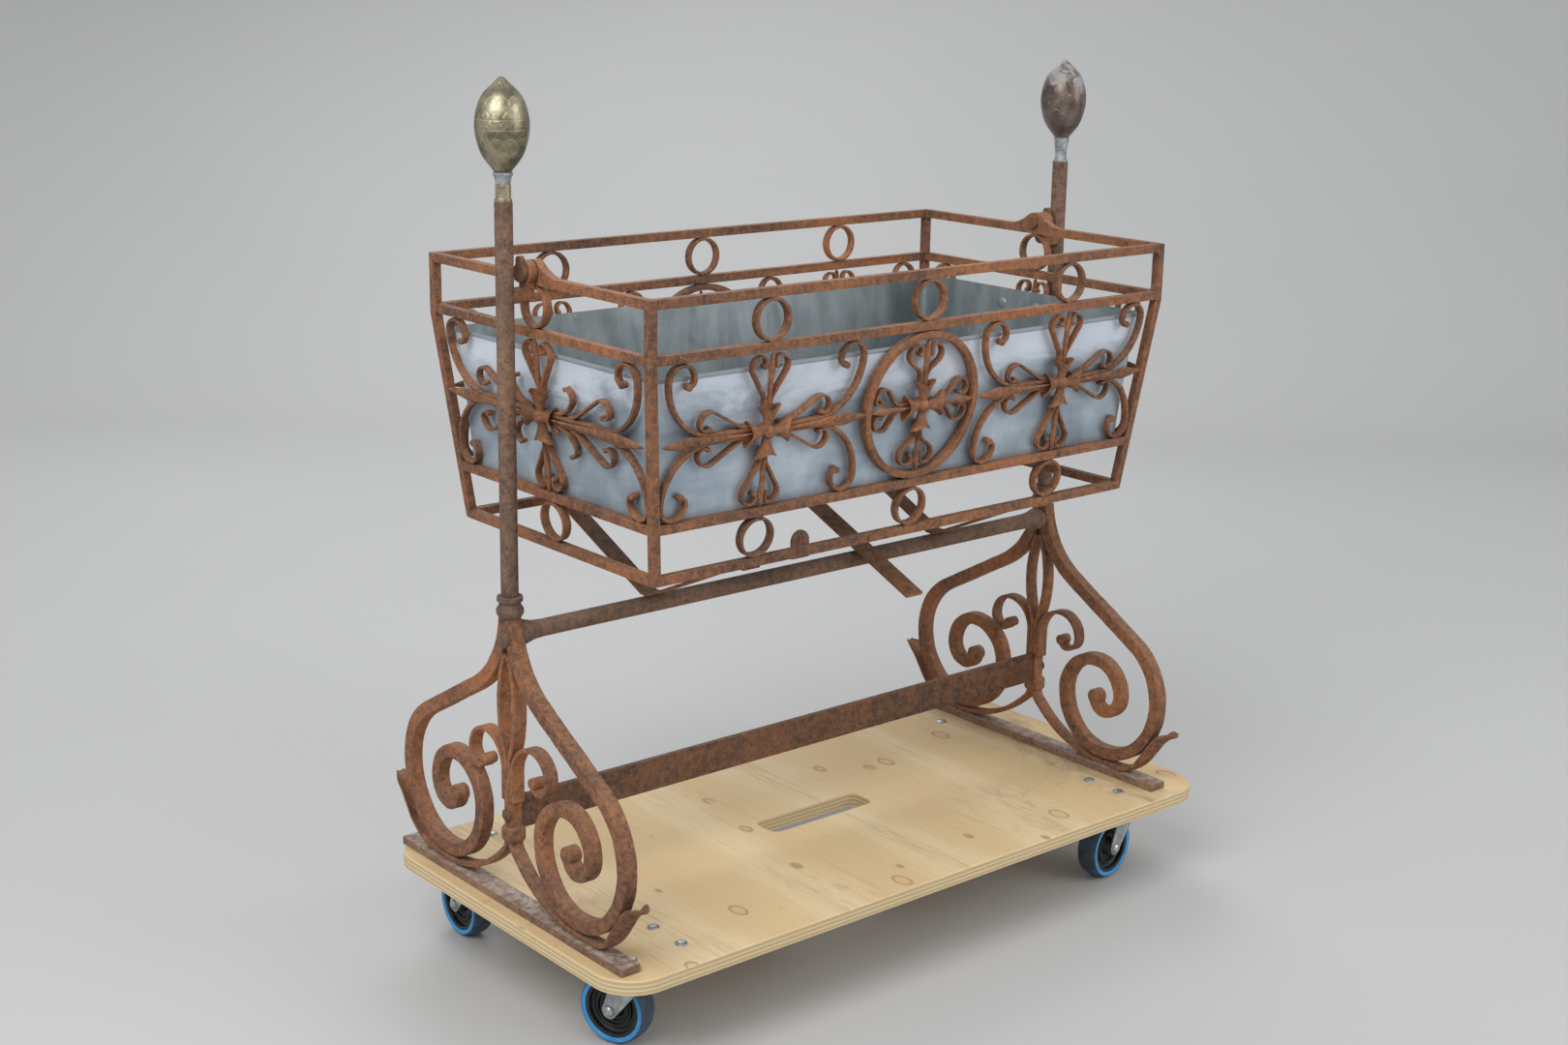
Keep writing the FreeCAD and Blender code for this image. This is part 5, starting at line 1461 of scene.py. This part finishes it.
    def build(self) -> None:
        """Puts the motifs and rings of all four sides in the scene, one piece for each node."""
        band = self.band_half()
        pitch = self.pitch()
        up_reach = band - self.rail_gap()
        inside = up_reach - self.ring_bar - self.gap
        middle = (self.kink + self.lower_rail + self.bar) / 2
        curl_height = self.lower_rail + self.bar + self.curl
        side_gap = min(self.half(middle, 0) - self.bar - pitch, pitch - band) - self.gap
        wide = self.motif(side_gap, up_reach, (97.0, 29.0),
                          self.half(curl_height, 0) - self.bar - pitch - self.gap, (22.0, 105.0, 35.0))
        small = self.motif(inside, inside, (83.0, 29.0))
        broad = self.motif(self.half(middle, 1) - self.bar - self.gap, up_reach, (97.0, 29.0),
                           self.half(curl_height, 1) - self.bar - self.gap, (62.0, 148.0, 43.0), True)
        made: dict[str, list[Patch]] = {"circle_rings": [], "top_rings": [], "bottom_rings": []}
        for plane in Plane:
            t = (self.height(self.kink, plane) + self.height(self.lower_rail + self.bar, plane)) / 2
            t -= self.sink(plane)
            spots = [(0.0, broad)]
            if plane.is_long:
                spots = [(-pitch, wide), (0.0, small), (pitch, wide)]
                ring = self.ring(up_reach, self.ring_bar, self.bar, 1.0)
                made["circle_rings"].append(self.placed(ring, plane, 0.0, t))
            for s, design in spots:
                for node, patches in design.items():
                    made.setdefault(node, []).extend(self.placed(p, plane, s, t) for p in patches)
            self.small_rings(plane, made)
        for node, patches in made.items():
            put(node + "_forged", Patch.joined(patches), self.iron, "cradle", [node])

    def small_rings(self, plane: Plane, made: dict[str, list[Patch]]) -> None:
        """Adds the small rings between the top rails and between the bottom rails.

        Args:
            plane: the panel.
            made: the pieces so far, by node.
        """
        columns = (-self.pitch(), 0.0, self.pitch()) if plane.is_long else (0.0,)
        out = np.array([plane.value[0], plane.value[1], 0.0])
        along = np.array([-plane.value[1], plane.value[0], 0.0])
        axis = 1 if plane.is_long else 0
        radius = (self.top_height - self.bar - self.kink - self.bar) / 2
        low = self.height(self.foot + self.bar, plane) - self.sink(plane)
        low_radius = (self.height(self.lower_rail, plane) - self.sink(plane) - low) / 2
        for s in columns:
            ring = self.ring(radius, self.small_ring_bar, self.bar, 0.0)
            middle = np.array([STAND_X, 0, DECK_TOP + self.kink + self.bar + radius])
            centre = out * self.top_half[axis] + along * s + middle
            matrix = np.stack([along, np.array([0, 0, 1.0]), np.cross(along, [0, 0, 1.0])], axis=1)
            made["top_rings"].append(ring.mapped(matrix, centre))
            lower = self.ring(low_radius - self.rail_gap(), self.small_ring_bar, self.bar, 0.0)
            made["bottom_rings"].append(self.placed(lower, plane, s, low + low_radius))


@dataclass
class ZincLiner:
    """Tapered sheet box with soft corners, a rolled rim and a floor that sags; sizes in millimetres."""

    zinc: bpy.types.Material
    rim_half: tuple = (440.0, 229.5)
    seat_half: tuple = (425.1, 211.42)
    seat_height: float = 560.5
    rim_height: float = 745.0
    floor_height: float = 546.0
    sheet: float = 1.5
    corner: float = 16.0
    foot_round: float = 9.0
    bead: float = 2.5
    sag: float = 5.0
    dent: float = 1.3

    def half(self, z: np.ndarray, axis: int) -> np.ndarray:
        """Half size at a height, from the straight lean between seat and rim.

        Args:
            z: heights above the deck.
            axis: 0 along X, 1 along Y.

        Returns:
            The half sizes.
        """
        lean = (self.rim_half[axis] - self.seat_half[axis]) / (self.rim_height - self.seat_height)
        return self.rim_half[axis] - lean * (self.rim_height - z)

    def build(self) -> None:
        """Carries a profile round a rounded rectangle: under the floor, up, over the bead and down inside."""
        arc = np.radians(np.linspace(0, 180, 9))
        soft, floor, rim = self.foot_round, self.floor_height, self.rim_height
        bend = np.radians(np.linspace(0, 90, 5))
        shares = np.array([0.03, 0.25, 0.5, 0.75, 0.93])
        rows = [(share, 0.0, floor) for share in shares]
        rows += [(1.0, -soft + soft * math.sin(a), floor + soft - soft * math.cos(a)) for a in bend]
        rows += [(1.0, 0.0, z) for z in np.linspace(floor + soft, rim - 2 * self.bead, 12)[1:]]
        rows += [(1.0, 2.3 * math.sin(a) - self.sheet * a / math.pi, rim - 2.4 - self.bead * math.cos(a))
                 for a in arc]
        rows += [(1.0, -self.sheet, z) for z in np.linspace(rim - 4.0, floor + soft, 12)]
        rows += [(1.0, -soft - self.sheet + soft * math.cos(a),
                  floor + self.sheet + soft - soft * math.sin(a)) for a in bend[1:]]
        rows += [(share, -self.sheet, floor + self.sheet) for share in shares[::-1]]
        table = np.array(rows)
        share, offset, z = (table[:, k:k + 1] for k in range(3))
        sides, units = self.outline()
        half_x = self.half(z, 0) + offset
        half_y = self.half(z, 1) + offset
        radius = np.clip(self.corner + offset, 4.0, None)
        x = (sides[:, 0] * (half_x - radius) + units[:, 0] * radius) * share
        y = (sides[:, 1] * (half_y - radius) + units[:, 1] * radius) * share
        centre_share = np.maximum(np.abs(x) / half_x, np.abs(y) / half_y)
        near_floor = np.clip(1 - (z - floor) / 60.0, 0, 1)
        sag = -self.sag * (1 - np.clip(centre_share, 0, 1) ** 2) * near_floor
        high = np.clip((z - floor) / (rim - floor), 0, 1)
        points = np.stack([x, y, z + sag], axis=-1)
        dent = np.sin(high * math.pi) * (0.6 + 0.6 * ripple(points, DENT_WAVE)) * self.dent
        points[..., 0] -= np.sign(x) * dent * (np.abs(x) > np.abs(half_x) * 0.97)
        points[..., 1] -= np.sign(y) * dent * (np.abs(y) > np.abs(half_y) * 0.95)
        points += np.array([STAND_X, 0, DECK_TOP])
        put("zinc_liner_sheet", wrap_grid(points), self.zinc, "liner", ["zinc_liner"])
        softened("liner_rivets", self.zinc, "liner", 0.4)

    def outline(self) -> tuple[np.ndarray, np.ndarray]:
        """Signs and unit offsets round the plan, counter-clockwise from above, with points on each side."""
        sides, units = [], []
        for k, (a, b) in enumerate(((1, -1), (1, 1), (-1, 1), (-1, -1))):
            arc = np.radians(-90 + 90 * k + np.linspace(0, 90, 5))
            sides.append(np.tile([a, b], (5, 1)).astype(float))
            units.append(np.stack([np.cos(arc), np.sin(arc)], -1))
            after = ((1, 1), (-1, 1), (-1, -1), (1, -1))[k]
            share = np.linspace(0, 1, 18)[1:-1, None]
            sides.append(np.array([a, b]) * (1 - share) + np.array(after) * share)
            units.append(np.tile(units[-1][-1], (16, 1)))
        return np.concatenate(sides), np.concatenate(units)


@dataclass
class EggFinial:
    """Pointed egg turned on the post's spigot; sizes in millimetres."""

    side: Side
    finish: bpy.types.Material
    slot: str
    radius: float = 34.0
    foot_radius: float = 10.5
    tip_radius: float = 3.5

    def build(self) -> None:
        """Turns a smooth line through the foot, belly and tip, with heights from the node's box."""
        node = "finial_" + self.side.word
        low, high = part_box(node)
        foot, tip = low.z / MM, high.z / MM
        widest = foot + (tip - foot) * 0.496
        line = smooth_through([
            (self.foot_radius, foot), (self.radius * 0.80, foot + (widest - foot) * 0.42),
            (self.radius, widest),
            (self.radius * 0.76, widest + (tip - widest) * 0.56), (self.tip_radius, tip - 1.5)], 80)
        start = np.array([(0.1, foot)])
        end = np.array([(self.tip_radius * 0.6, tip - 0.3), (0.1, tip)])
        egg = turned_shape(np.concatenate([start, line, end]), 96)
        egg = egg.mapped(np.eye(3), ((low.x + high.x) / 2 / MM, 0, 0))
        put(node + "_turned", egg, self.finish, "platform", [node], 60.0)


@dataclass
class Castor:
    """One castor: tyre and ringed wheel centre turned about the axle; sizes in millimetres."""

    corner: str
    plated: bpy.types.Material
    black: bpy.types.Material
    radius: float = 50.0
    shoulder: float = 46.5
    tyre_half: float = 16.0
    inner: float = 40.0
    crown: float = 78.0
    steps: int = 72
    hub_side: tuple = (
        (5.05, 18.0), (9.0, 18.0), (11.0, 17.2), (12.5, 15.0), (13.5, 8.0), (15.0, 6.4), (18.0, 6.2),
        (19.0, 8.0), (21.0, 8.0), (22.0, 6.2), (23.8, 6.4), (24.2, 10.0), (26.2, 10.0), (26.8, 6.4),
        (30.0, 6.2), (31.0, 7.4), (33.0, 7.4), (34.4, 8.5), (35.2, 14.2), (36.0, 14.6), (39.6, 14.6),
        (39.95, 13.8))

    def axle(self) -> tuple[np.ndarray, np.ndarray]:
        """Wheel centre in millimetres and the axle's direction, from the record's joint."""
        joint = next(j for j in frame["joints"] if j["name"] == "wheel_" + self.corner + "_roll")
        return np.array(joint["pos_m"]) / MM, np.array(joint["axis"])

    def about_axle(self, patch: Patch) -> Patch:
        """Maps a shape turned about Z to the axle."""
        centre, along = self.axle()
        up = np.array([0, 0, 1.0])
        side = np.cross(along, up)
        return patch.mapped(np.stack([side, up, np.cross(side, up)], axis=1), centre)

    def build(self) -> None:
        """Turns the tyre and the wheel centre, and dresses the fork and axle."""
        centre, _ = self.axle()
        crown = np.radians(np.linspace(-self.crown, self.crown, 13))
        tread_r = self.shoulder + (self.radius - self.shoulder) * np.cos(crown * 90 / self.crown)
        tread_z = self.tyre_half * np.sin(crown) / math.sin(math.radians(self.crown))
        outer = np.stack([tread_r, tread_z], axis=-1)
        inner = np.array([(self.inner, self.tyre_half - 0.5), (self.inner, -self.tyre_half + 0.5)])
        lip = np.array([(self.inner + 1.5, self.tyre_half)])
        tyre = self.tube(np.concatenate([inner[1:], lip * [1, -1], outer, lip, inner[:1]]))
        blue = WornTread("tyre_" + self.corner, tuple(float(c) * MM for c in centre)).make()
        put("tyre_" + self.corner + "_turned", self.about_axle(tyre), blue, "wheel_" + self.corner,
            ["tyre_" + self.corner])
        upper = np.array(self.hub_side)
        hub = self.tube(np.concatenate([upper[::-1], upper * [1, -1]]))
        put("hub_" + self.corner + "_turned", self.about_axle(hub), self.black, "wheel_" + self.corner,
            ["hub_" + self.corner])
        softened("fork_" + self.corner, self.plated, "swivel_" + self.corner, 0.7)
        dress("axle_" + self.corner, self.plated)

    def tube(self, profile: np.ndarray) -> Patch:
        """A closed profile turned about Z, whose last ring joins its first in place of the two caps."""
        shape = turned_shape(profile, self.steps)
        last, steps = len(shape.verts) - self.steps, self.steps
        joins = [[last + k, last + (k + 1) % steps, (k + 1) % steps, k] for k in range(steps)]
        return Patch(shape.verts, shape.faces[:-2] + joins)


@dataclass
class IronWork:
    """The nodes whose shape stays, most of them with rounded edges."""

    iron: bpy.types.Material
    worn: bpy.types.Material
    dark: bpy.types.Material
    dusty: bpy.types.Material

    def build(self) -> None:
        """Copies most nodes with rounded edges in their finish, and gives the leg rivets and end screws their
        finish as they are.
        """
        for node in ("top_rails", "upper_rails", "lower_rails", "bottom_rails", "corner_bars",
                     "cradle_straps", "loose_strap", "strap_lug"):
            softened(node, self.iron, "cradle", 0.9)
        softened("pivot_pins", self.dark, "cradle", 1.0)
        for node in ("end_collars", "pivot_brackets"):
            softened(node, self.iron, "platform", 1.0)
        for node in ("upper_stretcher", "post_left", "post_right", "post_rings"):
            softened(node, self.worn, "platform", 1.0)
        softened("lower_stretcher", self.dark, "platform", 1.0)
        dress("leg_rivets", self.worn)
        dress("end_screws", self.dark)
        softened("foot_bars", self.dusty, "platform", 1.4)


def main() -> None:
    """Builds the studio and dresses every sub-assembly in order."""
    Studio().build()
    iron = RustedIron().make()
    worn = RustedIron("worn_iron", "3f302a", "5f4a3e", "7a5d4a", "8c6a50", bare=0.45).make()
    dark = RustedIron("dark_iron", "2f211c", "4f382b", "6f4d37", "875836", dust_share=0.15).make()
    dusty = RustedIron("dusty_iron", "46362f", "6f5546", "8a6c57", "97775f", "aaa39a", dust_share=0.85,
                        bare=0.1).make()
    zinc = AgedZinc(rim=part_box("zinc_liner")[1].z).make()
    plated = Plating("zinc_plating", "8d9194", "c2c6c8", 0.3, 0.9).make()
    dress("plywood_deck", Plywood().make())
    for node in ("deck_bolts", "deck_nuts", "castor_plates", "swivel_bearings"):
        dress(node, plated)
    IronWork(iron, worn, dark, dusty).build()
    for side in Side:
        EndFrame(side, iron).build()
    CradlePanels(iron).build()
    ZincLiner(zinc).build()
    left_low, left_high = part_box("finial_left")
    brass = EngravedBrass(centre_x=(left_low.x + left_high.x) / 2, foot=left_low.z,
                          height=left_high.z - left_low.z).make()
    EggFinial(Side.LEFT, brass, "aged_brass").build()
    EggFinial(Side.RIGHT, WornBronze(tip=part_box("finial_right")[1].z).make(), "worn_metal").build()
    pressed = Plating("pressed_brass", "8a7f66", "bdb196", 0.36, 0.85, 90.0).make()
    cast = Plating("cast_zinc", "7d8588", "b7bcbc", 0.5, 0.6, 90.0).make()
    softened("ferrule_left", pressed, "platform", 0.5)
    softened("finial_cup_left", cast, "platform", 0.4)
    softened("finial_cup_right", cast, "platform", 0.4)
    black = MouldedBlack().make()
    for corner in ("front_left", "front_right", "back_left", "back_right"):
        Castor(corner, plated, black).build()


if __name__ == "__main__":
    main()
